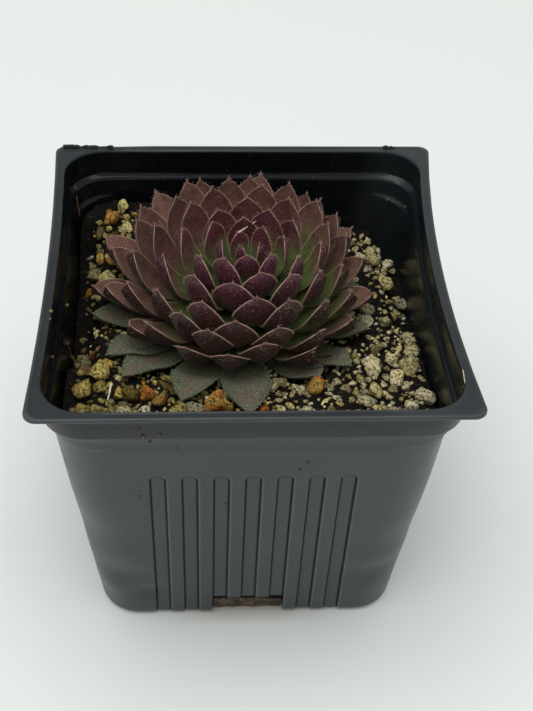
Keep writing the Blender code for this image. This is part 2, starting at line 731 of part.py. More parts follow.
def cut_stem_hole(soil):
    bm = bmesh.new()
    top = POT_HEIGHT
    foot = STEM_FOOT - 2 * GAP
    bmesh.ops.create_cone(bm, cap_ends=True, segments=CORE_SEGMENTS, depth=top - foot,
                          radius1=STEM_RADIUS + 0.4 * MM, radius2=STEM_RADIUS + 0.4 * MM)
    bmesh.ops.translate(bm, vec=STEM_AT + Vector((0, 0, (top + foot) / 2)), verts=bm.verts)
    cutter = add_object("hole_cutter", bm, None)
    apply_boolean(soil, "DIFFERENCE", other=cutter)
    bpy.data.objects.remove(cutter, do_unlink=True)


def main():
    clear_scene()
    make_pot()
    rosette, leaves = make_rosette()
    rosette_tree = surface_tree([rosette] + leaves)
    fuse(rosette, leaves, "rosette_leaves", "MANIFOLD")
    basal, old_leaves = make_old_leaves(rosette_tree)
    basal_tree = surface_tree([basal] + old_leaves)
    fuse(basal, old_leaves, "old_leaves", "EXACT")
    trees = [rosette_tree, basal_tree]
    soil = make_soil(trees)
    plugs = [slot_plug(turn) for turn in range(4)]
    fuse(soil, grit_stones(trees, surface_tree([soil])) + plugs, "grit_and_plugs", "MANIFOLD")
    cut_stem_hole(soil)


main()
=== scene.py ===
"""Looks of the potted houseleek: the fine pot, soil, grit, leaves and hairs round the frame.

Metres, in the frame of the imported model: +Z up, the origin in the middle of the pot's foot.
Shapes repeat the rules of the part's solids with more stations, and add what is too fine there.
"""
import json
import math
import random

import bmesh
import bpy
from mathutils import Matrix, Vector, noise
from mathutils.bvhtree import BVHTree

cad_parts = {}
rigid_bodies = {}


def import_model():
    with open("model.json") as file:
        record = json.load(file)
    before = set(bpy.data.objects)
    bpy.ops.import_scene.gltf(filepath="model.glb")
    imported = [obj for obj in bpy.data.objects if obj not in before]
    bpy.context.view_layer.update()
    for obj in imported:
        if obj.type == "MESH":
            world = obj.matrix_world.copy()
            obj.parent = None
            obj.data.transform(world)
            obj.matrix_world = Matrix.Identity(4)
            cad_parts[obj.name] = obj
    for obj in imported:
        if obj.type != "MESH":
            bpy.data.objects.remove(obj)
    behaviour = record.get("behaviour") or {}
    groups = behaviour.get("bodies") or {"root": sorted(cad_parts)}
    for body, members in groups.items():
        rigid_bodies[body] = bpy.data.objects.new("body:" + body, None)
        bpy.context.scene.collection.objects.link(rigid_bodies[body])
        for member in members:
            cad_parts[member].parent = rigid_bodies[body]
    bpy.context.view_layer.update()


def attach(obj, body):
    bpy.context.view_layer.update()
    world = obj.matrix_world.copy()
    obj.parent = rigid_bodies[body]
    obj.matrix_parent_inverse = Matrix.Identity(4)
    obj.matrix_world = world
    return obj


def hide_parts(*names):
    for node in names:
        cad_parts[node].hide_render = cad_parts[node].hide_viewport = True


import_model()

MM = 0.001
UP = Vector((0.0, 0.0, 1.0))

# Camera: where the photograph was taken from, with a picture 533 by 711
PICTURE = (533, 711)
SENSOR = 36.0
LENS = 64.3
TURN_ROUND = -0.0742
LOOK_DOWN = 0.7718
ROLL = 0.0447
DISTANCE = 0.34235
TARGET = Vector((0.00556, 0.00636, 0.05316))

# Pot
RIM_HALF = 51.0 * MM
POT_HEIGHT = 90.0 * MM
FOOT_HALF = 39.5 * MM
TAPER = 0.106
SHEET = 1.2 * MM
FLUTED_SHEET = 1.6 * MM
FLOOR = 1.5 * MM
FOOT_FILLET = 2.4 * MM
COLLAR_HALF = 49.4 * MM
COLLAR_FOOT = 81.6 * MM
STEP_FOOT = 80.4 * MM
RIM_CORNER = 3.0 * MM
COLLAR_CORNER = 11.5 * MM
CORNER_STEP = 75.5 * MM
WALL_CORNER = 14.0 * MM
FOOT_CORNER = 11.0 * MM
CORNER_SEGMENTS = 9
BOW_FROM = 40.0 * MM
BOWS = {"right": 3.4 * MM, "left": 1.5 * MM}
FLUTES = 7
FLUTE_PITCH = 7.5 * MM
FLUTE_WIDTH = 3.8 * MM
FLUTE_DEPTH = 0.85 * MM
FLUTE_FLOOR = 0.5 * MM
FLUTE_TOP = 65.5 * MM
# Where the wall's points lie across a flute and up past its round top, in mm
FLUTE_STEPS = (-2.3, -2.02, -1.9, -1.74, -1.5, -1.25, 0.0, 1.25, 1.5, 1.74, 1.9, 2.02, 2.25, 2.6)
FLUTE_TOP_STEPS = (-3, -2.2, -1.7, -1.3, -0.9, -0.6, -0.3, -0.1, 0.1, 0.4, 1.5)
SLOT_WIDTH = 19.0 * MM
SLOT_HEIGHT = 8.6 * MM
SLOT_REACH = 2.3 * MM
NOTCH_WIDTH = 19.0 * MM
NOTCH_REACH = 10.0 * MM
NOTCH_DEPTH = 9.0 * MM

# Soft dents in the front wall: across, height, depth and reach in mm
DENTS = ((-32.5, 21.0, 1.5, 5.5), (-27.5, 12.0, 1.0, 4.0), (-36.0, 13.0, -0.5, 4.0),
         (32.5, 20.0, 1.5, 5.5), (36.0, 33.0, 0.8, 8.0), (-37.0, 38.0, 0.6, 9.0))
SWAY = 0.3 * MM

# The rim's top gets painted shade above a height, and to the right of a place the painted shade is eased,
# as painted light
RIM_SHADE_FROM = 89.6 * MM
PAINTED_LIGHT_FROM = 32.0 * MM

# Torn runs of the rim's back edge: from, to, and how many shreds
TORN_RUNS = ((-49.0 * MM, -40.5 * MM, 11), (-43.0 * MM, -35.5 * MM, 8), (38.5 * MM, 42.0 * MM, 5))
SHRED_RADIUS = 0.55 * MM
SHRED_BACK = 0.75 * MM

# Soil
SOIL_CORNERS = {(-1, -1): 71.5, (1, -1): 72.5, (-1, 1): 77.0, (1, 1): 64.5}
SOIL_SPAN = 44.0 * MM
SOIL_LEVEL = 72.0 * MM
SOIL_CELLS = 150
SOIL_CLEAR = 0.7 * MM
SOIL_LUMPS = 1.2 * MM
SOIL_CRUMBS = 0.55 * MM
SHRUNK_LEFT = 9.0 * MM
SHRUNK_RIGHT = 6.0 * MM
BOWL_REACH = 38.0 * MM
BOWL_DEPTH = 8.0 * MM
CAP_CELLS = 56
PLUG_FACE = 38.0 * MM
PLUG_REACH = 5.8 * MM
PLUG_FOOT = 0.4 * MM
PLUG_TOP = 4.4 * MM

# Grit: how many stones there are of each size, from and to a radius in mm, largest first
STONE_SIZES = ((34, 2.1, 3.1), (150, 1.4, 2.1), (380, 0.9, 1.4), (1000, 0.4, 0.9))
STONE_TRIES = 14
# Stones lie within this half width in mm, off the corners and off the stem
STONE_SPAN = 42.5
STONE_CORNER = 76.0 * MM
STONE_FREE = 15.0 * MM
STONE_PACKING = 0.73
LARGE_STONE = 1.9 * MM
# Thinly covered places of the soil: left, right, front and back in mm, and the share that stays
THIN_PLACES = ((-45, -28, -12, 16, 0.35), (20, 45, 5, 45, 0.6), (4, 25, -45, -25, 0.4))
PATCHES_FROM = -24.0 * MM
PATCH_SHARE = 0.25

# Rosette
STEM_AT = Vector((-3.6 * MM, 9.5 * MM, 0.0))
STEM_RADIUS = 4.4 * MM
STEM_FOOT = 55.0 * MM
BUD_AT = Vector((-0.3 * MM, 6.7 * MM, 0.0))
ROSETTE_REACH = 38.0 * MM
ROOT_LOWEST = 72.2 * MM
ROOT_HIGHEST = 83.0 * MM
ROOT_SHARE = 0.12
ROOT_OUT = 0.4 * MM
# Leaves stand in one spiral, counted from the bud outwards, and their tips lie on a flat dome
# that rises towards the back and is wider than deep. A seeded draw moves each a little. The first
# angle and the step come from a search against leaf tips measured in the photograph.
LEAVES = 74
FIRST_ANGLE = 212.0
SPIRAL_STEP = 137.68
INNER_REACH = 1.5 * MM
REACH_POWER = 0.9
REACH_SWELL = 0.6
DEPTH_NARROWING = 0.18
DOME_TOP = 93.6 * MM
DOME_DROP = 16.5 * MM
DOME_POWER = 4
DOME_TILT = Vector((-0.02, 0.13, 0.0))
LEAF_SEED = 40
ANGLE_DRIFT = 5.0
REACH_DRIFT = 0.03
HEIGHT_DRIFT = 0.9 * MM
CORE_PROFILE = ((4.4, 55.0), (4.4, 70.5), (6.5, 71.7), (8.5, 75.5), (8.0, 80.0), (5.0, 84.5))
CORE_TOP = 88.0 * MM

# One leaf
LEAF_WIDTH = 11.5 * MM
YOUNG_WIDTH = 0.2
FULL_WIDTH_AT = 0.36
OUTER_NARROWING = 0.12
LEAF_THICKNESS = 2.6 * MM
YOUNG_THICKNESS = 0.45
INNER_TIP_RISE = 98.0
OUTER_TIP_RISE = 25.0
WIDEST_AT = 0.66
WAIST = 0.5
DISH = 0.12
SHOULDER_END = 0.95
TAPER_FROM = 0.65
POINT_WIDTH = 0.17
INNER_CURL = 0.78
OUTER_CURL = 0.42
LEAF_VALUES = ("along", "edge", "upper", "tone", "age")
LEAF_STATIONS = 24
LEAF_RING = 20

# Hairs: their length and root radius, along the margins and on the faces
FRINGE_LENGTH = 0.7 * MM
FRINGE_RADIUS = 0.042 * MM
DOWN_LENGTH = 0.32 * MM
DOWN_RADIUS = 0.03 * MM
OLD_FRINGE_LENGTH = 0.3 * MM
OLD_FRINGE_HAIRS = 60
OLD_DOWN_LENGTH = 0.34 * MM
OLD_DOWN_HAIRS = 420

# Older leaves: azimuth in degrees, reach and width in mm
OLD_LEAVES = (
    (-108.5, 42.5, 11.5), (-86.0, 45.0, 12.0), (-131.0, 43.0, 10.0), (-142.0, 41.0, 9.5),
    (-56.5, 38.0, 11.0), (-43.5, 40.0, 10.5), (-20.0, 37.0, 10.0), (8.0, 36.0, 10.0),
    (34.0, 36.0, 10.0), (63.0, 33.0, 10.0), (96.0, 32.0, 10.0), (-165.0, 38.0, 10.0),
)
OLD_RING_RADIUS = 9.0 * MM
OLD_RING_TOP = 68.4 * MM
OLD_RING_FOOT = 66.1 * MM
OLD_ROOT_RADIUS = 6.5 * MM
OLD_ROOT_SUNK = 0.3 * MM
OLD_TIP_LIFT = 1.9 * MM
OLD_THICKNESS = 2.0 * MM
OLD_TIP_RISE = math.radians(2.0)
OLD_CURL = 0.4
OLD_TAPER = 0.3
LEAF_CLEAR = 0.6 * MM

# Table and light
TABLE_HALF = 3.0
# Brown at the slots, partly soil stain and partly painted contact shadow: its reach, under the foot, and
# along the sides
STAIN_SHADOW_REACH = 5.0 * MM
STAIN_SHADOW_UNDER = 2.0 * MM
STAIN_SHADOW_SIDES = (28.0 * MM, 6.0 * MM)
WINDOW_AT = (-0.12, -0.1, 0.95)
WINDOW_FACES = (0.0, 0.0, 0.05)
WINDOW_SIZE = 0.8
WINDOW_POWER = 6.0
SKY_STRENGTH = 0.78


# Shared helpers

def srgb(code):
    """A hex colour turned to linear red, green, blue and alpha."""
    values = [int(code[i:i + 2], 16) / 255 for i in (1, 3, 5)]
    linear = [v / 12.92 if v <= 0.04045 else ((v + 0.055) / 1.055) ** 2.4 for v in values]
    return (*linear, 1.0)


def add_node(material, kind, settings):
    """Add a node: each setting is a link from another socket, a socket's value or a property."""
    tree = material.node_tree
    node = tree.nodes.new(kind)
    for name, value in settings.items():
        socket = node.inputs[name] if isinstance(name, int) or name in node.inputs else None
        if isinstance(value, bpy.types.NodeSocket):
            tree.links.new(value, socket)
        elif socket is not None:
            socket.default_value = value
        else:
            setattr(node, name, value)
    return node


def new_material(name, roughness):
    """An empty material with its shader: the looks are linked to it afterwards."""
    material = bpy.data.materials.new(name)
    material.use_nodes = True
    shader = material.node_tree.nodes["Principled BSDF"]
    shader.inputs["Roughness"].default_value = roughness
    return material, shader


def smooth_step(low, high, value):
    """A share that rises softly from 0 at the low value to 1 at the high one."""
    share = min(1.0, max(0.0, (value - low) / (high - low)))
    return share * share * (3 - 2 * share)


def skin(bm, rings, tip=None, values=None):
    """Sweep a cap through rings of points and close it, with values for layers at each point."""
    layers = [bm.verts.layers.float[name] for name in values[0]] if values else []
    count = len(rings[0])
    verts = bmesh.ops.create_circle(bm, segments=count, radius=1.0)["verts"]
    edges = list({edge for vert in verts for edge in vert.link_edges})
    bmesh.ops.contextual_create(bm, geom=edges)
    for number, ring in enumerate(rings):
        if number:
            made = bmesh.ops.extrude_edge_only(bm, edges=edges)["geom"]
            edges = [item for item in made if isinstance(item, bmesh.types.BMEdge)]
            fresh = {item for item in made if isinstance(item, bmesh.types.BMVert)}
            verts = [next(edge.other_vert(vert) for edge in vert.link_edges
                          if edge.other_vert(vert) in fresh) for vert in verts]
        for place, (vert, point) in enumerate(zip(verts, ring)):
            vert.co = point
            for layer, value in zip(layers, values[1][number][place] if values else ()):
                vert[layer] = value
    if tip is None:
        bmesh.ops.contextual_create(bm, geom=edges)
    else:
        made = bmesh.ops.extrude_edge_only(bm, edges=edges)["geom"]
        fresh = [item for item in made if isinstance(item, bmesh.types.BMVert)]
        bmesh.ops.pointmerge(bm, verts=fresh, merge_co=tip)
        last = next(vert for vert in fresh if vert.is_valid)
        for layer, value in zip(layers, values[1][-1][0] if values else ()):
            last[layer] = value


def add_piece(name, bm, material, replaced=None, sharp_degrees=50.0):
    """Turn a bmesh into a finished piece that rides on the root body."""
    mesh = bpy.data.meshes.new(name)
    bm.to_mesh(mesh)
    bm.free()
    mesh.shade_smooth()
    mesh.set_sharp_from_angle(angle=math.radians(sharp_degrees))
    mesh.materials.append(material)
    piece = bpy.data.objects.new(name, mesh)
    bpy.context.scene.collection.objects.link(piece)
    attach(piece, "root")
    if replaced:
        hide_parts(replaced)
    return piece


def merge_in(bm, part):
    """Add a small bmesh to the one of the whole piece, with its layers."""
    mesh = bpy.data.meshes.new("part")
    part.to_mesh(mesh)
    part.free()
    bm.from_mesh(mesh)
    bpy.data.meshes.remove(mesh)


def with_layers(*names):
    """An empty bmesh with a value layer on its points for each name."""
    bm = bmesh.new()
    for name in names:
        bm.verts.layers.float.new(name)
    return bm


# Camera

def look_directions():
    """The camera's right, up and backward directions."""
    back = Vector((math.sin(TURN_ROUND) * math.cos(LOOK_DOWN),
                   -math.cos(TURN_ROUND) * math.cos(LOOK_DOWN), math.sin(LOOK_DOWN)))
    right = (-back).cross(UP).normalized()
    up = right.cross(-back)
    rolled_right = math.cos(ROLL) * right + math.sin(ROLL) * up
    rolled_up = -math.sin(ROLL) * right + math.cos(ROLL) * up
    return rolled_right, rolled_up, back


def make_camera():
    """The camera, at the place and turn of the photograph."""
    right, up, back = look_directions()
    data = bpy.data.cameras.new("camera")
    data.lens = LENS
    data.sensor_width = SENSOR
    data.clip_start = 0.01
    camera = bpy.data.objects.new("camera", data)
    turn = Matrix((right, up, back)).transposed().to_4x4()
    camera.matrix_world = Matrix.Translation(TARGET + back * DISTANCE) @ turn
    bpy.context.scene.collection.objects.link(camera)
    bpy.context.scene.camera = camera


def ray_through(across, down):
    """The camera's place and the direction through a point of the picture."""
    right, up, back = look_directions()
    focal = LENS / SENSOR * max(PICTURE)
    direction = (right * (across - PICTURE[0] / 2) - up * (down - PICTURE[1] / 2) - back * focal)
    return TARGET + back * DISTANCE, direction.normalized()


# Pot

def bowed(point):
    """Move a point of the pot's wall inwards as the right and left walls bow."""
    rise = max(0.0, (point.z - BOW_FROM) / (POT_HEIGHT - BOW_FROM)) ** 1.5
    amount = BOWS["right"] if point.x > 0 else BOWS["left"]
    along = max(0.0, 1.0 - (point.y / COLLAR_HALF) ** 2)
    sideways = min(1.0, abs(point.x) / (0.7 * COLLAR_HALF)) ** 4
    shift = amount * rise * along * sideways
    return Vector((point.x - math.copysign(shift, point.x), point.y, point.z))


def outer_half(height):
    """Half the width of the pot outside the wall, which is rounded in at its foot."""
    half = FOOT_HALF + height * TAPER
    if height < FOOT_FILLET:
        rise = FOOT_FILLET - height
        half += math.sqrt(max(0.0, FOOT_FILLET ** 2 - rise ** 2)) - FOOT_FILLET
    return half


def inner_half(height):
    """Half the width of the pot inside the wall."""
    thick = SHEET if height > FLUTE_TOP else FLUTED_SHEET
    return outer_half(height) - thick


def corner_at(height):
    """The plan's corner radius, from the foot to the crescent steps at the wall's top."""
    radius = FOOT_CORNER + (WALL_CORNER - FOOT_CORNER) * min(height, CORNER_STEP) / CORNER_STEP
    return radius + (COLLAR_CORNER - WALL_CORNER) * smooth_step(CORNER_STEP, CORNER_STEP + 0.9 * MM, height)


def flute_depth(across, height):
    """How deep the wall is pressed in at a place: a flat groove with a round top."""
    number = round(across / FLUTE_PITCH)
    if abs(number) > (FLUTES - 1) / 2:
        return 0.0, 0.0
    away = across - number * FLUTE_PITCH
    over = height - (FLUTE_TOP - FLUTE_WIDTH / 2)
    reach = abs(away) if over < 0 else math.hypot(away, over)
    half = FLUTE_WIDTH / 2
    depth = FLUTE_FLOOR * (1.0 - smooth_step(half - 0.15 * MM, half + 0.1 * MM, reach))
    line = math.exp(-((reach - half + 0.14 * MM) / (0.24 * MM)) ** 2)
    # A dark line at a flute's edge, partly dirt and partly painted shade, and a pale painted highlight
    # beyond its right edge
    painted_highlight = math.exp(-((reach - half - 0.28 * MM) / (0.16 * MM)) ** 2) if away > 0 else 0.0
    return depth + (FLUTE_DEPTH - FLUTE_FLOOR) * line * 0.7, line - 1.3 * painted_highlight


def dent_depth(across, height):
    """How deep the soft dents of the front wall are at a place."""
    depth = 0.0
    for x, z, deep, reach in DENTS:
        away = ((across / MM - x) / reach) ** 2 + ((height / MM - z) / (reach * 0.8)) ** 2
        depth += deep * MM * math.exp(-away)
    return depth


def wall_sway(point):
    """Slow waves in the thin outer wall, which fade towards the stiff foot and collar."""
    held = smooth_step(4 * MM, 16 * MM, point.z) * smooth_step(82 * MM, 72 * MM, point.z)
    return SWAY * held * noise.noise(point * 38 + Vector((0.4, 2.2, 7.1)))


def side_places(flat):
    """Where the points of a side lie, close together at the edges of the flutes."""
    places = []
    for number in range(FLUTES):
        middle = (number - (FLUTES - 1) / 2) * FLUTE_PITCH
        places += [middle + step * MM for step in FLUTE_STEPS]
    end = places[-1]
    return [-(end + flat) / 2] + places + [(end + flat) / 2]


def pot_ring(height, half, corner, outside):
    """Points round the pot at one height, with the flutes and dents of its outside."""
    points = []
    marks = []
    flat = half - corner
    for turn in range(4):
        side = Matrix.Rotation(turn * math.pi / 2, 3, "Z")
        for across in side_places(flat):
            deep = mark = 0.0
            if outside and height < FLUTE_TOP + 2 * MM:
                deep, mark = flute_depth(across, height)
                if height < FOOT_FILLET:
                    deep *= 0.4 + 0.6 * height / FOOT_FILLET
            if outside and turn == 3:
                deep += dent_depth(across, height)
            if outside:
                deep += wall_sway(side @ Vector((half, across, height)))
            points.append(bowed(side @ Vector((half - deep, across, height))))
            marks.append(mark)
        for step in range(CORNER_SEGMENTS + 1):
            angle = step * math.pi / 2 / CORNER_SEGMENTS
            x = flat + corner * math.cos(angle)
            y = flat + corner * math.sin(angle)
            point = side @ Vector((x, y, height))
            if outside:
                inwards = Vector((point.x, point.y, 0)).normalized()
                faced = dent_depth(point.x, height) * max(0.0, -inwards.y) if point.y < 0 else 0.0
                point -= inwards * (wall_sway(point) + faced)
            points.append(bowed(point))
            marks.append(0.0)
    return points, marks


def pot_profile():
    """Height, half width and corner of each ring: up the outside, over the rim and down inside."""
    outside = []
    for step in range(6):
        height = FOOT_FILLET * (1 - math.cos(step * math.pi / 10))
        outside.append((height, outer_half(height), FOOT_CORNER - FOOT_FILLET * (1 - step / 5) * 0.9))
    heights = [4, 6, 8, 9, 10, 12, 14, 16, 18, 20, 22, 25, 28, 31, 34, 37, 40, 44, 48, 52, 56, 59]
    heights += [FLUTE_TOP / MM + step for step in FLUTE_TOP_STEPS] + [70, 73, 75, 75.4]
    outside += [(z * MM, outer_half(z * MM), corner_at(z * MM)) for z in heights]
    step_half = outer_half(CORNER_STEP)
    outside += [(z * MM, step_half, corner_at(z * MM)) for z in (75.65, 75.85, 76.05, 76.25, 76.5)]
    foot_half = outer_half(STEP_FOOT)
    outside += [(78.5 * MM, (step_half + foot_half) / 2, COLLAR_CORNER),
                (80.1 * MM, foot_half - 0.1 * MM, COLLAR_CORNER),
                (80.5 * MM, foot_half + 0.1 * MM, COLLAR_CORNER),
                (80.9 * MM, foot_half + 0.5 * MM, COLLAR_CORNER),
                (81.3 * MM, COLLAR_HALF - 0.4 * MM, COLLAR_CORNER),
                (81.7 * MM, COLLAR_HALF - 0.13 * MM, COLLAR_CORNER),
                (82.2 * MM, COLLAR_HALF - 0.05 * MM, COLLAR_CORNER),
                (86.0 * MM, COLLAR_HALF, COLLAR_CORNER),
                (88.2 * MM, COLLAR_HALF, COLLAR_CORNER),
                (88.7 * MM, COLLAR_HALF + 0.25 * MM, COLLAR_CORNER - 1.5 * MM),
                (88.85 * MM, COLLAR_HALF + 0.7 * MM, RIM_CORNER + 3 * MM),
                (88.8 * MM, RIM_HALF - 0.3 * MM, RIM_CORNER),
                (88.88 * MM, RIM_HALF - 0.08 * MM, RIM_CORNER),
                (89.05 * MM, RIM_HALF, RIM_CORNER),
                (89.7 * MM, RIM_HALF, RIM_CORNER),
                (89.92 * MM, RIM_HALF - 0.08 * MM, RIM_CORNER),
                (90.0 * MM, RIM_HALF - 0.3 * MM, RIM_CORNER)]
    lip_half = COLLAR_HALF - SHEET + 0.2 * MM
    lip_corner = COLLAR_CORNER - SHEET
    outside += [(89.88 * MM, RIM_HALF - 0.8 * MM, RIM_CORNER + 1.0 * MM),
                (89.86 * MM, lip_half + 0.75 * MM, lip_corner - 1.5 * MM),
                (89.95 * MM, lip_half + 0.45 * MM, lip_corner),
                (89.85 * MM, lip_half + 0.15 * MM, lip_corner)]
    inside = [(89.5 * MM, lip_half - 0.03 * MM, lip_corner),
              (88.6 * MM, lip_half - 0.08 * MM, lip_corner),
              (86.0 * MM, lip_half - 0.15 * MM, lip_corner),
              (83.4 * MM, lip_half - 0.2 * MM, lip_corner),
              (82.8 * MM, lip_half - 0.35 * MM, lip_corner),
              (82.2 * MM, inner_half(STEP_FOOT) + 0.6 * MM, lip_corner),
              (81.7 * MM, inner_half(STEP_FOOT) + 0.12 * MM, lip_corner),
              (81.2 * MM, inner_half(STEP_FOOT), lip_corner),
              (78.2 * MM, inner_half(CORNER_STEP) + 0.1 * MM, lip_corner),
              (77.4 * MM, inner_half(CORNER_STEP), lip_corner + 0.3 * MM),
              (77.0 * MM, inner_half(CORNER_STEP), lip_corner + 1.6 * MM),
              (76.6 * MM, inner_half(CORNER_STEP), WALL_CORNER - SHEET)]
    for z in (70, 66, 62, 56, 48, 40, 30, 20, 10, 4.2):
        inside.append((z * MM, inner_half(z * MM), corner_at(z * MM) - SHEET))
    inside.append((2.4 * MM, inner_half(FOOT_FILLET) - 0.7 * MM, FOOT_CORNER - SHEET))
    inside.append((FLOOR, inner_half(FOOT_FILLET) - FOOT_FILLET, FOOT_CORNER - FOOT_FILLET))
    return [(*ring, True) for ring in outside] + [(*ring, False) for ring in inside]


def slot_cutter(turn):
    """The block that opens the drain slot of one side."""
    bm = bmesh.new()
    bmesh.ops.create_cube(bm, size=1.0)
    reach = SLOT_REACH + 3 * MM
    bmesh.ops.scale(bm, vec=(reach, SLOT_WIDTH, SLOT_HEIGHT + 2 * MM), verts=bm.verts)
    place = Vector((outer_half(SLOT_HEIGHT) - SLOT_REACH + reach / 2, 0.0,
                    (SLOT_HEIGHT - 2 * MM) / 2))
    bmesh.ops.translate(bm, vec=place, verts=bm.verts)
    top = [edge for edge in bm.edges
           if abs(edge.verts[0].co.y - edge.verts[1].co.y) < MM
           and min(vert.co.z for vert in edge.verts) > SLOT_HEIGHT - MM]
    bmesh.ops.bevel(bm, geom=top, offset=1.2 * MM, affect="EDGES", segments=3, profile=0.5,
                    material=-1)
    return placed_cutter(bm, turn)


def floor_cutter(turn):
    """The notch that each slot goes on into, in the edge of the floor."""
    bm = bmesh.new()
    bmesh.ops.create_cube(bm, size=1.0)
    bmesh.ops.scale(bm, vec=(NOTCH_REACH, NOTCH_WIDTH, NOTCH_DEPTH), verts=bm.verts)
    edge = outer_half(SLOT_HEIGHT) + MM
    bmesh.ops.translate(bm, vec=(edge - NOTCH_REACH / 2, 0.0, 0.0), verts=bm.verts)
    return placed_cutter(bm, turn)


def placed_cutter(bm, turn):
    """A cutter turned to one of the four sides, as an object for the cut."""
    bmesh.ops.rotate(bm, verts=bm.verts, matrix=Matrix.Rotation(turn * math.pi / 2, 3, "Z"))
    mesh = bpy.data.meshes.new("cutter")
    bm.to_mesh(mesh)
    bm.free()
    return bpy.data.objects.new("cutter", mesh)


def torn_rim(bm):
    """The rim's edge is torn and curled along the back's left end, and nicked at the right."""
    for vert in bm.verts:
        point = vert.co
        if point.z < 88.5 * MM or point.y < 49.8 * MM:
            continue
        left = smooth_step(-33 * MM, -38 * MM, point.x) * smooth_step(-51.5 * MM, -48 * MM, point.x)
        right = math.exp(-((point.x - 40.5 * MM) / (2.2 * MM)) ** 2)
        rough = noise.noise(point * 900) + 0.6 * noise.noise(point * 2300)
        point.z += (0.5 * left + 0.45 * right) * MM * (0.35 + rough) * 0.6
        point.y += (0.5 * left + 0.3 * right) * MM * (rough - 0.75) * 0.7


def make_torn_edge():
    """Ragged shreds of plastic along the rim's back edge, most of them at its left end."""
    draw = random.Random(5)
    shreds = bmesh.new()
    for low, high, count in TORN_RUNS:
        points = [Vector((low + (high - low) * step / count, RIM_HALF - SHRED_BACK,
                          POT_HEIGHT + draw.uniform(-0.25, 0.4) * MM)) for step in range(count + 1)]
        strand(shreds, points, SHRED_RADIUS)
    bmesh.ops.recalc_face_normals(shreds, faces=shreds.faces)
    add_piece("torn_rim_edge", shreds, dry_matter("torn_polypropylene", "#0a0c0d", "#1b2022", 500.0))


def wall_shade(height, half, outside):
    """How dark and even the sheet looks, by painted shade: its inside most, then the rim's top and the
    collar.
    """
    if not outside:
        return 1.0
    if height > RIM_SHADE_FROM and half < RIM_HALF - 0.5 * MM:
        return 0.65
    return 0.45 if COLLAR_FOOT < height < RIM_SHADE_FROM - 1.2 * MM else 0.0


def make_pot():
    """The pot as one sheet swept through its rings, with slots and notches cut out."""
    bm = with_layers("edge_line", "inside")
    profile = pot_profile()
    made = [pot_ring(*ring) for ring in profile]
    rings = [points for points, _ in made]
    # Painted light: the painted shade is eased on the right, where the bowed wall catches the light
    values = [[(mark, wall_shade(height, half, outside) * (0.72 if point.x > PAINTED_LIGHT_FROM else 1.0))
               for point, mark in zip(points, marks)]
              for (points, marks), (height, half, _, outside) in zip(made, profile)]
    skin(bm, rings, values=(("edge_line", "inside"), values))
    bmesh.ops.recalc_face_normals(bm, faces=bm.faces)
    torn_rim(bm)
    tree = BVHTree.FromBMesh(bm)
    pot = add_piece("nursery_pot", bm, polypropylene(), "pot", 35.0)
    cutters = bpy.data.collections.new("cutters")
    for turn in range(4):
        cutters.objects.link(slot_cutter(turn))
        cutters.objects.link(floor_cutter(turn))
    cut = pot.modifiers.new("drain_slots", "BOOLEAN")
    cut.operand_type = "COLLECTION"
    cut.collection = cutters
    cut.operation = "DIFFERENCE"
    cut.solver = "EXACT"
    bpy.context.view_layer.update()
    shape = pot.evaluated_get(bpy.context.evaluated_depsgraph_get())
    mesh = bpy.data.meshes.new_from_object(shape)
    pot.modifiers.clear()
    pot.data = mesh
    for cutter in list(cutters.objects):
        bpy.data.objects.remove(cutter, do_unlink=True)
    bpy.data.collections.remove(cutters)
    mesh.shade_smooth()
    mesh.set_sharp_from_angle(angle=math.radians(35.0))
    return tree


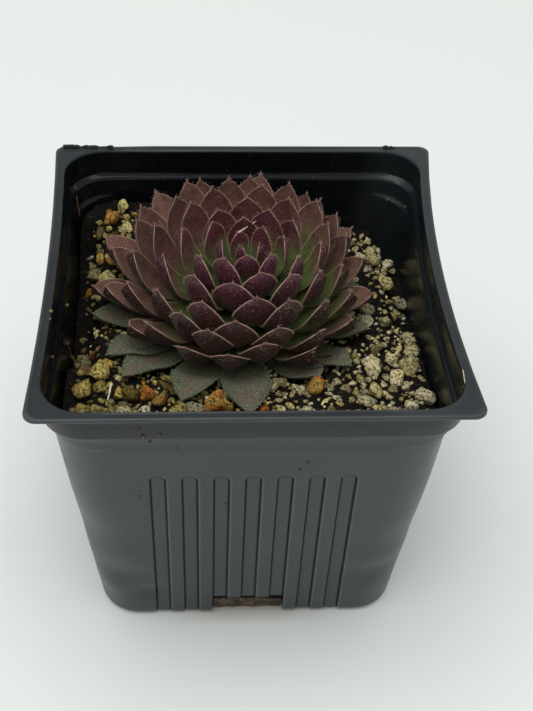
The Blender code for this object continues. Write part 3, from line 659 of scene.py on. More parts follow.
def polypropylene():
    """Charcoal polypropylene sheet, vacuum-formed: half gloss, faint drawing lines, grooves dark with dust
    and painted shade, pale painted highlights beside them, and painted shade inside.
    """
    material, shader = new_material("vacuum_formed_polypropylene", 0.42)
    place = add_node(material, "ShaderNodeTexCoord", {}).outputs["Object"]
    # Broad clouding of the sheet, about 18 mm across
    cloud = add_node(material, "ShaderNodeTexNoise", {"Vector": place, "Scale": 55.0, "Detail": 3.0})
    tone = add_node(material, "ShaderNodeMapRange", {
        "Value": cloud.outputs["Fac"], "From Min": 0.35, "From Max": 0.65})
    scuffed = add_node(material, "ShaderNodeMix", {
        "data_type": "RGBA", 0: tone.outputs[0], 6: srgb("#24292b"), 7: srgb("#2c3234")})
    # Painted shade: the sheet is mixed towards near black inside, on the rim's top and on the collar under
    # the rim
    painted_shade = add_node(material, "ShaderNodeAttribute", {"attribute_name": "inside"})
    base = add_node(material, "ShaderNodeMix", {
        "data_type": "RGBA", 0: painted_shade.outputs["Fac"], 6: scuffed.outputs[2], 7: srgb("#080c0f")})
    # A flute's lines are dark, partly with dirt and partly with painted shade, and the sheet beyond its
    # right one gets a pale painted highlight
    line = add_node(material, "ShaderNodeAttribute", {"attribute_name": "edge_line"})
    dark = add_node(material, "ShaderNodeMapRange", {"Value": line.outputs["Fac"], "To Max": 0.45})
    dirt_and_shade_lined = add_node(material, "ShaderNodeMix", {
        "data_type": "RGBA", 0: dark.outputs[0], 6: base.outputs[2], 7: srgb("#15191a")})
    painted_highlight_mask = add_node(material, "ShaderNodeMapRange", {
        "Value": line.outputs["Fac"], "From Min": 0.0, "From Max": -1.0, "To Max": 0.5})
    highlighted = add_node(material, "ShaderNodeMix", {
        "data_type": "RGBA", 0: painted_highlight_mask.outputs[0], 6: dirt_and_shade_lined.outputs[2], 7: srgb("#566062")})
    # Dust: pale specks of 0.3 mm, thin on the walls
    speck = add_node(material, "ShaderNodeTexNoise", {"Vector": place, "Scale": 2600.0, "Detail": 2.0})
    dust = add_node(material, "ShaderNodeMapRange", {
        "Value": speck.outputs["Fac"], "From Min": 0.7, "From Max": 0.78, "To Max": 0.5})
    dusty = add_node(material, "ShaderNodeMix", {
        "data_type": "RGBA", 0: dust.outputs[0], 6: highlighted.outputs[2], 7: srgb("#8a8a80")})
    material.node_tree.links.new(dusty.outputs[2], shader.inputs["Base Color"])
    gloss = add_node(material, "ShaderNodeMapRange", {
        "Value": cloud.outputs["Fac"], "From Min": 0.3, "From Max": 0.7, "To Min": 0.3, "To Max": 0.42})
    polished = add_node(material, "ShaderNodeMath", {
        "operation": "MULTIPLY_ADD", 0: painted_shade.outputs["Fac"], 1: -0.12, 2: gloss.outputs[0]})
    material.node_tree.links.new(polished.outputs[0], shader.inputs["Roughness"])
    shine = add_node(material, "ShaderNodeMath", {
        "operation": "MULTIPLY_ADD", 0: painted_shade.outputs["Fac"], 1: -0.3, 2: 0.5})
    material.node_tree.links.new(shine.outputs[0], shader.inputs["Specular IOR Level"])
    # Fine level lines from forming, 0.6 mm apart, and a fine grain
    level = add_node(material, "ShaderNodeMapping", {"Vector": place, "Scale": (120.0, 120.0, 1700.0)})
    lines = add_node(material, "ShaderNodeTexNoise", {
        "Vector": level.outputs[0], "Scale": 1.0, "Detail": 2.0})
    grain = add_node(material, "ShaderNodeTexNoise", {"Vector": place, "Scale": 1500.0, "Detail": 3.0})
    both = add_node(material, "ShaderNodeMath", {
        "operation": "ADD", 0: lines.outputs["Fac"], 1: grain.outputs["Fac"]})
    bump = add_node(material, "ShaderNodeBump", {
        "Strength": 0.25, "Distance": 0.00012, "Height": both.outputs[0]})
    material.node_tree.links.new(bump.outputs[0], shader.inputs["Normal"])
    return material


# Leaves

def leaf_outline(share):
    """Half width along the leaf: a waist, full at two thirds, then shoulders and a drawn point."""
    if share < WIDEST_AT:
        return WAIST + (1.0 - WAIST) * math.sin(share / WIDEST_AT * math.pi / 2) ** 1.6
    past = min(1.0, (share - WIDEST_AT) / (SHOULDER_END - WIDEST_AT))
    shoulder = (1.0 - past ** 2) ** 0.66
    point = POINT_WIDTH * (1.0 - smooth_step(SHOULDER_END - 0.06, 1.0, share))
    return math.hypot(shoulder, point)


def leaf_fullness(share):
    """How full the leaf's section is along its length."""
    return 0.55 + 0.45 * math.sin(math.pi * min(1.0, 0.3 + share * 0.65))


def half_width(width, share, taper):
    """Half the leaf's width at a share of its length, drawn in further where it tapers."""
    return width / 2 * leaf_outline(share) * (1.0 - taper * smooth_step(TAPER_FROM, 1.0, share))


def thickness_at(thickness, share, half):
    """The leaf's thickness at a share of its length, which its narrow ends limit."""
    thick = thickness * leaf_fullness(share) * min(1.0, 0.25 + 3.2 * leaf_outline(share))
    return min(thick, 1.3 * half)


def leaf_spine(root, tip, outward, tip_rise, curl):
    """The leaf's middle line: it leaves the stem low and curls up to the tip's own slope."""
    chord = tip - root
    slope = outward * math.cos(tip_rise) + UP * math.sin(tip_rise)
    middle = tip - slope * chord.length * curl
    across = outward.cross(UP)

    def at(share):
        point = root.lerp(middle, share).lerp(middle.lerp(tip, share), share)
        forward = (middle - root).lerp(tip - middle, share).normalized()
        return point, across, across.cross(forward), forward
    return at


def leaf_place(number):
    """Where the spiral and the dome put a leaf's tip: direction, reach and height."""
    draw = random.Random(LEAF_SEED + number)
    along = (number + 0.3) / LEAVES
    share = along ** REACH_POWER + REACH_SWELL * along * (1.0 - along)
    reach = INNER_REACH + (ROSETTE_REACH - INNER_REACH) * share
    reach *= 1.0 + draw.uniform(-1, 1) * REACH_DRIFT
    angle = math.radians(FIRST_ANGLE + number * SPIRAL_STEP + draw.uniform(-1, 1) * ANGLE_DRIFT)
    direction = Vector((math.cos(angle), math.sin(angle), 0.0))
    reach *= 1.0 - DEPTH_NARROWING * share * direction.y ** 2
    height = DOME_TOP - DOME_DROP * (reach / ROSETTE_REACH) ** DOME_POWER
    height += DOME_TILT.dot(direction) * reach + draw.uniform(-1, 1) * HEIGHT_DRIFT
    return direction, reach, height


def leaf_values(number):
    """One rosette leaf: its middle line, its tip, its width, its thickness and its age."""
    direction, reach, height = leaf_place(number)
    share = reach / ROSETTE_REACH
    inner = max(0.0, 1.0 - share)
    axis = BUD_AT.lerp(STEM_AT, min(1.0, share) ** 2)
    tip = axis + direction * reach + UP * height
    root = axis + direction * (ROOT_SHARE * reach + ROOT_OUT)
    root.z = ROOT_LOWEST + (ROOT_HIGHEST - ROOT_LOWEST) * inner ** 1.1
    tip_rise = math.radians(INNER_TIP_RISE + (OUTER_TIP_RISE - INNER_TIP_RISE) * share ** 5)
    curl = INNER_CURL + (OUTER_CURL - INNER_CURL) * share ** 3.2
    grown = min(1.0, YOUNG_WIDTH + (1.0 - YOUNG_WIDTH) * (share / FULL_WIDTH_AT) ** 0.75)
    width = LEAF_WIDTH * grown * (1.0 - OUTER_NARROWING * share)
    thickness = LEAF_THICKNESS * min(1.0, YOUNG_THICKNESS + 0.7 * share)
    return leaf_spine(root, tip, direction, tip_rise, curl), tip, width, thickness, share


def leaf_section(share, spin_angle, half, thick):
    """A point of the leaf's section: how far across and how far above the middle line."""
    u = math.cos(spin_angle)
    v = math.sin(spin_angle)
    late = smooth_step(0.4, 0.85, share)
    dish = DISH * half * (1 + 0.5 * late)
    margin = min(0.16 * MM, 0.3 * half)
    if v >= 0:
        height = dish * (1.5 * u * u - 0.5) + margin * v
    else:
        keel = 0.16 * thick * math.exp(-(u / 0.22) ** 2) * smooth_step(0.45, 0.8, share)
        height = dish * u * u - thick * (1 - abs(u) ** (2.1 - 0.7 * late)) + margin * v - keel
    return u * half, height


def leaf_stations():
    """Shares along the leaf, closer together towards the tip."""
    return [1 - (1 - step / LEAF_STATIONS) ** 1.5 for step in range(LEAF_STATIONS)]


def leaf_body(spine, tip, width, thickness, tone, age, wave, taper=0.0):
    """One leaf as a small bmesh, with the values that its finish reads."""
    bm = with_layers(*LEAF_VALUES)
    rings = []
    values = []
    for share in leaf_stations():
        point, across, up, _ = spine(share)
        half = half_width(width, share, taper) * (1 + 0.03 * math.sin(share * 9 + wave))
        thick = thickness_at(thickness, share, half)
        ring = []
        marks = []
        for step in range(LEAF_RING):
            angle = 2 * math.pi * step / LEAF_RING
            x, z = leaf_section(share, angle, half, thick)
            ring.append(point + across * x + up * z)
            marks.append((share, abs(math.cos(angle)), math.sin(angle), tone, age))
        rings.append(ring)
        values.append(marks)
    skin(bm, rings, tip=tip, values=(LEAF_VALUES, values))
    bmesh.ops.recalc_face_normals(bm, faces=bm.faces)
    return bm


def hair(bm, root, direction, length, radius):
    """One fine hair: a three-sided spike that stands on the leaf."""
    turn = direction.to_track_quat("Z", "Y").to_matrix().to_4x4()
    place = Matrix.Translation(root + direction * length / 2) @ turn
    bmesh.ops.create_cone(bm, segments=3, cap_ends=False, radius1=radius, radius2=0.15 * radius,
                          depth=length, matrix=place)


def fringe(draw, spine, width, count, length, taper=0.0):
    """The hairs along both margins of a leaf, which lean towards its tip."""
    bm = bmesh.new()
    for number in range(count):
        share = 0.18 + 0.8 * (number + draw.random()) / count
        point, across, up, forward = spine(share)
        half = half_width(width, share, taper)
        for side in (-1, 1):
            root = point + across * side * half * 0.97 + up * DISH * half
            lean = across * side + forward * draw.uniform(0.3, 0.9) + up * draw.uniform(-0.25, 0.35)
            hair(bm, root, lean.normalized(), length * draw.uniform(0.6, 1.15), FRINGE_RADIUS)
    return bm


def down(draw, spine, width, thickness, count, length, both=True, taper=0.0):
    """The short hairs on a leaf's two faces."""
    bm = bmesh.new()
    for _ in range(count):
        share = draw.uniform(0.2, 0.97)
        point, across, up, forward = spine(share)
        half = half_width(width, share, taper)
        thick = thickness_at(thickness, share, half)
        angle = draw.uniform(0, 2 * math.pi) if both else draw.uniform(0.15, math.pi - 0.15)
        x, z = leaf_section(share, angle, half, thick)
        outward = across * math.cos(angle) * 0.6 + up * math.copysign(1.0, math.sin(angle))
        lean = outward.normalized() + forward * draw.uniform(-0.1, 0.5) + across * draw.uniform(-0.3, 0.3)
        hair(bm, point + across * x + up * z, lean.normalized(), length * draw.uniform(0.6, 1.2),
             DOWN_RADIUS)
    return bm


def make_core(bm):
    """The stem and the dense green middle that the leaves grow from."""
    turns = [step * 2 * math.pi / 24 for step in range(24)]
    rings = []
    for radius, height in CORE_PROFILE:
        middle = STEM_AT.lerp(BUD_AT, min(1.0, max(0.0, (height - 71.0) / 13.0))) + UP * height * MM
        rings.append([middle + Vector((math.cos(angle), math.sin(angle), 0.0)) * radius * MM
                      for angle in turns])
    part = with_layers(*LEAF_VALUES)
    values = [[(0.0, 0.0, 0.0, 0.5, 0.5)] * 24 for _ in rings]
    skin(part, rings, tip=BUD_AT + UP * CORE_TOP, values=(LEAF_VALUES, values))
    bmesh.ops.recalc_face_normals(part, faces=part.faces)
    merge_in(bm, part)


def make_rosette():
    """Every purple leaf on the stem as one piece, and its hairs as another."""
    draw = random.Random(3)
    leaves = with_layers(*LEAF_VALUES)
    hairs = bmesh.new()
    make_core(leaves)
    for number in range(LEAVES):
        spine, tip, width, thickness, share = leaf_values(number)
        part = leaf_body(spine, tip, width, thickness, draw.random(), share, draw.uniform(0, 6))
        merge_in(leaves, part)
        merge_in(hairs, fringe(draw, spine, width, round(14 + 36 * share), FRINGE_LENGTH))
        merge_in(hairs, down(draw, spine, width, thickness, round(30 + 60 * share), DOWN_LENGTH))
    tree = BVHTree.FromBMesh(leaves)
    add_piece("rosette_leaves", leaves, rosette_leaf(), "rosette", 60.0)
    add_piece("rosette_hairs", hairs, leaf_hair("rosette_hair", "#c9b3a6"))
    return tree


def rosette_leaf():
    """Houseleek leaf, living and fleshy: waxy satin, maroon over olive, paler at its margins."""
    material, shader = new_material("houseleek_leaf", 0.5)
    link = material.node_tree.links.new
    place = add_node(material, "ShaderNodeTexCoord", {}).outputs["Object"]
    along, edge, upper, tone, age = (
        add_node(material, "ShaderNodeAttribute", {"attribute_name": name}).outputs["Fac"]
        for name in LEAF_VALUES)
    # Blotches about 3 mm across
    blotch = add_node(material, "ShaderNodeTexNoise", {"Vector": place, "Scale": 330.0, "Detail": 4.0})
    # The outer face goes from magenta in young leaves to maroon in grown ones, and is darker than the inner
    # face: partly its own colour, partly painted shade where it faces away from the light
    grown = add_node(material, "ShaderNodeMapRange", {"Value": age, "From Min": 0.25, "From Max": 0.7})
    outer_face = add_node(material, "ShaderNodeMix", {
        "data_type": "RGBA", 0: grown.outputs[0], 6: srgb("#4a152a"), 7: srgb("#29160f")})
    inner_face = add_node(material, "ShaderNodeMix", {
        "data_type": "RGBA", 0: grown.outputs[0], 6: srgb("#602636"), 7: srgb("#6e4c40")})
    side = add_node(material, "ShaderNodeMapRange", {"Value": upper, "From Min": -0.15, "From Max": 0.15})
    face = add_node(material, "ShaderNodeMix", {
        "data_type": "RGBA", 0: side.outputs[0], 6: outer_face.outputs[2], 7: inner_face.outputs[2]})
    # No two leaves are equally dark
    deep = add_node(material, "ShaderNodeMath", {"operation": "MULTIPLY", 0: tone, 1: 0.35})
    face = add_node(material, "ShaderNodeMix", {
        "data_type": "RGBA", 0: deep.outputs[0], 6: face.outputs[2], 7: srgb("#2a1413")})
    # Green towards the root, further up on the plant's right and on some leaves
    axes = add_node(material, "ShaderNodeSeparateXYZ", {"Vector": place})
    sided = add_node(material, "ShaderNodeMath", {
        "operation": "MULTIPLY_ADD", 0: axes.outputs[0], 1: -5.0, 2: along})
    reach = add_node(material, "ShaderNodeMath", {
        "operation": "MULTIPLY_ADD", 0: tone, 1: 0.2, 2: sided.outputs[0]})
    mottled = add_node(material, "ShaderNodeMath", {
        "operation": "MULTIPLY_ADD", 0: blotch.outputs["Fac"], 1: 0.35, 2: reach.outputs[0]})
    green = add_node(material, "ShaderNodeMapRange", {
        "Value": mottled.outputs[0], "From Min": 1.0, "From Max": 0.63, "interpolation_type": "SMOOTHSTEP"})
    rooted = add_node(material, "ShaderNodeMix", {
        "data_type": "RGBA", 0: green.outputs[0], 6: face.outputs[2], 7: srgb("#556a2c")})
    # Painted shade: darker down towards the root, where the leaves crowd
    root_shade = add_node(material, "ShaderNodeMapRange", {
        "Value": along, "From Min": 0.55, "From Max": 0.1, "To Max": 0.65})
    root_shaded = add_node(material, "ShaderNodeMix", {
        "data_type": "RGBA", 0: root_shade.outputs[0], 6: rooted.outputs[2], 7: srgb("#151209")})
    # Darker blotches on the face
    spots = add_node(material, "ShaderNodeMapRange", {
        "Value": blotch.outputs["Fac"], "From Min": 0.46, "From Max": 0.7, "To Max": 0.5})
    spotted = add_node(material, "ShaderNodeMix", {
        "data_type": "RGBA", 0: spots.outputs[0], 6: root_shaded.outputs[2], 7: srgb("#160b0d")})
    # Pale margin, pink towards the point
    rim = add_node(material, "ShaderNodeMapRange", {
        "Value": edge, "From Min": 0.93, "From Max": 1.0, "To Max": 0.85})
    pink = add_node(material, "ShaderNodeMapRange", {"Value": along, "From Min": 0.55, "From Max": 0.95})
    rim_colour = add_node(material, "ShaderNodeMix", {
        "data_type": "RGBA", 0: pink.outputs[0], 6: srgb("#a8a070"), 7: srgb("#d8a89c")})
    rimmed = add_node(material, "ShaderNodeMix", {
        "data_type": "RGBA", 0: rim.outputs[0], 6: spotted.outputs[2], 7: rim_colour.outputs[2]})
    point = add_node(material, "ShaderNodeMapRange", {"Value": along, "From Min": 0.955, "From Max": 0.99})
    tipped = add_node(material, "ShaderNodeMix", {
        "data_type": "RGBA", 0: point.outputs[0], 6: rimmed.outputs[2], 7: srgb("#c48474")})
    # Fine pale gland dots, 0.25 mm
    dot = add_node(material, "ShaderNodeTexNoise", {"Vector": place, "Scale": 3200.0, "Detail": 1.0})
    dots = add_node(material, "ShaderNodeMapRange", {
        "Value": dot.outputs["Fac"], "From Min": 0.6, "From Max": 0.75, "To Max": 0.5})
    dotted = add_node(material, "ShaderNodeMix", {
        "data_type": "RGBA", 0: dots.outputs[0], 6: tipped.outputs[2], 7: srgb("#b99f92")})
    link(dotted.outputs[2], shader.inputs["Base Color"])
    shader.inputs["Specular IOR Level"].default_value = 0.3
    shader.inputs["Sheen Weight"].default_value = 0.08
    shader.inputs["Sheen Roughness"].default_value = 0.5
    shader.inputs["Sheen Tint"].default_value = srgb("#d9c9c0")
    shader.inputs["Subsurface Weight"].default_value = 0.12
    shader.inputs["Subsurface Radius"].default_value = (1.0, 0.45, 0.3)
    shader.inputs["Subsurface Scale"].default_value = 0.0012
    bump = add_node(material, "ShaderNodeBump", {
        "Strength": 0.7, "Distance": 0.0002, "Height": dot.outputs["Fac"]})
    link(bump.outputs[0], shader.inputs["Normal"])
    return material


def leaf_hair(name, code):
    """Fine plant hair: pale, dry and soft, so thin that it only lightens the leaf's edge."""
    material, shader = new_material(name, 0.6)
    place = add_node(material, "ShaderNodeTexCoord", {}).outputs["Object"]
    patch = add_node(material, "ShaderNodeTexNoise", {"Vector": place, "Scale": 400.0})
    colour = add_node(material, "ShaderNodeMix", {
        "data_type": "RGBA", 0: patch.outputs["Fac"], 6: srgb("#8f7d6c"), 7: srgb(code)})
    material.node_tree.links.new(colour.outputs[2], shader.inputs["Base Color"])
    return material


# Older leaves

def lowest_above(trees, x, y):
    """The height of the lowest surface over a point of the plan, or none."""
    start = Vector((x, y, STEM_FOOT + MM))
    found = [tree.ray_cast(start, UP) for tree in trees]
    heights = [hit[0].z for hit in found if hit[0] is not None]
    return min(heights) if heights else None


def soil_plane(x, y):
    """The even height of the soil, between those of its four corners."""
    across = min(1.0, max(0.0, (x / SOIL_SPAN + 1) / 2))
    along = min(1.0, max(0.0, (y / SOIL_SPAN + 1) / 2))
    front = SOIL_CORNERS[(-1, -1)] * (1 - across) + SOIL_CORNERS[(1, -1)] * across
    back = SOIL_CORNERS[(-1, 1)] * (1 - across) + SOIL_CORNERS[(1, 1)] * across
    return (front * (1 - along) + back * along) * MM


def old_leaf_line(azimuth, reach, width, tree):
    """An older leaf's middle line, lowered along its length until it clears the leaves above."""
    angle = math.radians(azimuth)
    direction = Vector((math.cos(angle), math.sin(angle), 0.0))
    root = STEM_AT + direction * OLD_ROOT_RADIUS
    root.z = OLD_RING_TOP - OLD_ROOT_SUNK
    tip = STEM_AT + direction * reach
    tip.z = soil_plane(tip.x, tip.y) + OLD_TIP_LIFT
    spine = leaf_spine(root, tip, direction, OLD_TIP_RISE, OLD_CURL)
    trials = 16
    drops = []
    for step in range(trials + 1):
        share = step / trials
        point, across, up, _ = spine(share)
        half = width / 2 * leaf_outline(share) * 1.1
        drop = 0.0
        for place in (-1.0, -0.5, 0.0, 0.5, 1.0):
            over = point + across * half * place + up * DISH * half * place * place
            above = lowest_above([tree], over.x, over.y)
            if above is not None:
                drop = max(drop, over.z + LEAF_CLEAR - above)
        drops.append(drop)
    wide = [max(drops[max(0, i - 2):i + 3]) for i in range(trials + 1)]

    def at(share):
        point, across, up, forward = spine(share)
        place = min(trials - 1e-6, share * trials)
        low = int(place)
        drop = wide[low] + (wide[low + 1] - wide[low]) * (place - low)
        return point - UP * drop, across, up, forward
    return at


def make_old_leaves(rosette_tree):
    """The grey-green leaves under the rosette as one piece, and their down as another."""
    draw = random.Random(8)
    leaves = with_layers(*LEAF_VALUES)
    hairs = bmesh.new()
    turns = [step * 2 * math.pi / 24 for step in range(24)]
    inner = STEM_RADIUS + 0.4 * MM
    profile = ((inner, OLD_RING_FOOT), (OLD_RING_RADIUS, OLD_RING_FOOT),
               (OLD_RING_RADIUS, OLD_RING_TOP), (inner, OLD_RING_TOP))
    corners = [leaves.verts.new(STEM_AT + Vector((radius, 0, height))) for radius, height in profile]
    edges = [leaves.edges.new((corners[i], corners[(i + 1) % 4])) for i in range(4)]
    bmesh.ops.spin(leaves, geom=corners + edges, cent=STEM_AT, axis=UP, angle=2 * math.pi,
                   steps=len(turns), use_merge=True)
    bmesh.ops.recalc_face_normals(leaves, faces=leaves.faces)
    for azimuth, reach, width in OLD_LEAVES:
        spine = old_leaf_line(azimuth, reach * MM, width * MM, rosette_tree)
        part = leaf_body(spine, spine(1.0)[0], width * MM, OLD_THICKNESS, draw.random(), 1.0,
                         draw.uniform(0, 6), OLD_TAPER)
        merge_in(leaves, part)
        merge_in(hairs, fringe(draw, spine, width * MM, OLD_FRINGE_HAIRS, OLD_FRINGE_LENGTH, OLD_TAPER))
        merge_in(hairs, down(draw, spine, width * MM, OLD_THICKNESS, OLD_DOWN_HAIRS, OLD_DOWN_LENGTH,
                             False, OLD_TAPER))
    tree = BVHTree.FromBMesh(leaves)
    add_piece("older_leaves", leaves, older_leaf(), "basal_leaves", 60.0)
    add_piece("older_leaf_down", hairs, leaf_hair("older_leaf_down", "#c4c8b4"))
    return tree


def older_leaf():
    """Older houseleek leaf: soft and downy, grey-green with a brown flush and a greener margin."""
    material, shader = new_material("downy_older_leaf", 0.72)
    link = material.node_tree.links.new
    place = add_node(material, "ShaderNodeTexCoord", {}).outputs["Object"]
    along = add_node(material, "ShaderNodeAttribute", {"attribute_name": "along"}).outputs["Fac"]
    edge = add_node(material, "ShaderNodeAttribute", {"attribute_name": "edge"}).outputs["Fac"]
    blotch = add_node(material, "ShaderNodeTexNoise", {"Vector": place, "Scale": 260.0, "Detail": 5.0})
    middle = add_node(material, "ShaderNodeMath", {
        "operation": "MULTIPLY_ADD", 0: edge, 1: -0.16, 2: blotch.outputs["Fac"]})
    flush = add_node(material, "ShaderNodeMapRange", {
        "Value": middle.outputs[0], "From Min": 0.32, "From Max": 0.5, "To Max": 0.9})
    body = add_node(material, "ShaderNodeMix", {
        "data_type": "RGBA", 0: flush.outputs[0], 6: srgb("#384228"), 7: srgb("#4a352c")})
    rooted = add_node(material, "ShaderNodeMapRange", {"Value": along, "From Min": 0.6, "From Max": 0.2})
    shaded = add_node(material, "ShaderNodeMix", {
        "data_type": "RGBA", 0: rooted.outputs[0], 6: body.outputs[2], 7: srgb("#263016")})
    rim = add_node(material, "ShaderNodeMapRange", {"Value": edge, "From Min": 0.5, "From Max": 1.0})
    rimmed = add_node(material, "ShaderNodeMix", {
        "data_type": "RGBA", 0: rim.outputs[0], 6: shaded.outputs[2], 7: srgb("#263013")})
    fleck = add_node(material, "ShaderNodeTexNoise", {"Vector": place, "Scale": 3600.0, "Detail": 2.0})
    flecks = add_node(material, "ShaderNodeMapRange", {
        "Value": fleck.outputs["Fac"], "From Min": 0.46, "From Max": 0.74, "To Max": 0.6})
    downy = add_node(material, "ShaderNodeMix", {
        "data_type": "RGBA", 0: flecks.outputs[0], 6: rimmed.outputs[2], 7: srgb("#95977f")})
    link(downy.outputs[2], shader.inputs["Base Color"])
    shader.inputs["Specular IOR Level"].default_value = 0.3
    shader.inputs["Sheen Weight"].default_value = 0.12
    shader.inputs["Sheen Tint"].default_value = srgb("#dfe2d4")
    bump = add_node(material, "ShaderNodeBump", {
        "Strength": 0.5, "Distance": 0.0002, "Height": fleck.outputs["Fac"]})
    link(bump.outputs[0], shader.inputs["Normal"])
    return material


# Soil and grit

def leaf_caps(trees):
    """How high the soil may rise at each place of a grid, so that it stays under the leaves."""
    step = 2 * SOIL_SPAN / CAP_CELLS
    found = {}
    for i in range(CAP_CELLS + 1):
        for j in range(CAP_CELLS + 1):
            above = lowest_above(trees, -SOIL_SPAN + i * step, -SOIL_SPAN + j * step)
            found[i, j] = 1.0 if above is None else above
    caps = {}
    for i, j in found:
        near = [found.get((i + a, j + b), 1.0) for a in (-1, 0, 1) for b in (-1, 0, 1)]
        caps[i, j] = min(near)
    return caps, step


def soil_height(x, y, caps, step):
    """The soil's surface: an uneven bed of crumbs, hollow under the plant."""
    place = Vector((x, y, 0.0))
    height = soil_plane(x, y)
    height += SOIL_LUMPS * noise.fractal(place * 190 + Vector((3, 7, 1)), 0.7, 2.1, 5)
    height += SOIL_CRUMBS * noise.noise(place * 1000)
    from_stem = (place - STEM_AT).length
    if from_stem < BOWL_REACH:
        height -= BOWL_DEPTH * (1 - (from_stem / BOWL_REACH) ** 2)
    i = round((x + SOIL_SPAN) / step)
    j = round((y + SOIL_SPAN) / step)
    cap = caps.get((i, j), 1.0)
    return min(height, cap - LEAF_CLEAR)


def soil_plan(u, v, half):
    """A grid point from -1 to 1 placed in the rounded square of the pot's inside."""
    x = u * half
    y = v * half
    flat = half - WALL_CORNER
    over_x = abs(x) - flat
    over_y = abs(y) - flat
    if over_x > 0 and over_y > 0:
        share = max(over_x, over_y) / math.hypot(over_x, over_y)
        x = math.copysign(flat + over_x * share, x)
        y = math.copysign(flat + over_y * share, y)
    return x, y


def wall_gap(x, y):
    """How far the soil has shrunk from the left and right walls, where it drops beside them."""
    left = smooth_step(-36 * MM, -42 * MM, x) * smooth_step(-20 * MM, -8 * MM, y)
    left *= smooth_step(38 * MM, 30 * MM, y)
    right = smooth_step(35 * MM, 41 * MM, x) * smooth_step(-6 * MM, 6 * MM, y)
    return SHRUNK_LEFT * left + SHRUNK_RIGHT * right


def slot_plug(turn):
    """The soil that fills one notch of the floor, crumbly where the drain slot shows it."""
    bm = bmesh.new()
    bmesh.ops.create_cube(bm, size=1.0)
    bmesh.ops.subdivide_edges(bm, edges=bm.edges, cuts=9, use_grid_fill=True)
    size = (PLUG_REACH, NOTCH_WIDTH - SOIL_CLEAR, PLUG_TOP - PLUG_FOOT)
    bmesh.ops.scale(bm, vec=size, verts=bm.verts)
    place = (PLUG_FACE - 0.3 * MM - PLUG_REACH / 2, 0.0, (PLUG_TOP + PLUG_FOOT) / 2)
    bmesh.ops.translate(bm, vec=place, verts=bm.verts)
    for vert in bm.verts:
        vert.co.x += 0.35 * MM * noise.noise(vert.co * 900 + Vector((turn, 0, 0)))
    bmesh.ops.rotate(bm, verts=bm.verts, matrix=Matrix.Rotation(turn * math.pi / 2, 3, "Z"))
    return bm


def make_soil(caps, step):
    """The soil as a crumbly top on a plain block, and the soil in the slots apart."""
    bm = bmesh.new()
    bmesh.ops.create_grid(bm, x_segments=SOIL_CELLS, y_segments=SOIL_CELLS, size=1.0)
    rim = [edge for edge in bm.edges if edge.is_boundary]
    plan = {vert: (vert.co.x, vert.co.y) for vert in bm.verts}
    half = inner_half(SOIL_LEVEL) - SOIL_CLEAR
    for vert, (u, v) in plan.items():
        x, y = soil_plan(u, v, half)
        point = bowed(Vector((x, y, SOIL_LEVEL)))
        height = soil_height(point.x, point.y, caps, step) - wall_gap(point.x, point.y)
        vert.co = (point.x, point.y, height)
    edges = rim
    for height in (60.0 * MM, 40.0 * MM, 20.0 * MM, FOOT_FILLET + FLOOR, FLOOR + 0.6 * MM):
        owners = {vert for edge in edges for vert in edge.verts}
        made = bmesh.ops.extrude_edge_only(bm, edges=edges)["geom"]
        edges = [item for item in made if isinstance(item, bmesh.types.BMEdge)]
        fresh = {item for item in made if isinstance(item, bmesh.types.BMVert)}
        half = inner_half(max(FOOT_FILLET, height)) - SOIL_CLEAR
        if height < FOOT_FILLET:
            half -= FOOT_FILLET
        for owner in owners:
            vert = next(edge.other_vert(owner) for edge in owner.link_edges
                        if edge.other_vert(owner) in fresh)
            plan[vert] = plan[owner]
            x, y = soil_plan(*plan[owner], half)
            rough = 0.3 * MM * noise.noise(Vector((x, y, height)) * 300)
            vert.co = bowed(Vector((x * (1 - rough / half), y * (1 - rough / half), height)))
    bmesh.ops.contextual_create(bm, geom=edges)
    bmesh.ops.recalc_face_normals(bm, faces=bm.faces)
    tree = BVHTree.FromBMesh(bm)
    add_piece("potting_mix", bm, potting_mix(), "soil", 80.0)
    plugs = bmesh.new()
    for turn in range(4):
        merge_in(plugs, slot_plug(turn))
    bmesh.ops.recalc_face_normals(plugs, faces=plugs.faces)
    add_piece("slot_soil", plugs, dry_matter("dry_slot_soil", "#30271e", "#5b4a39", 700.0))
    return tree


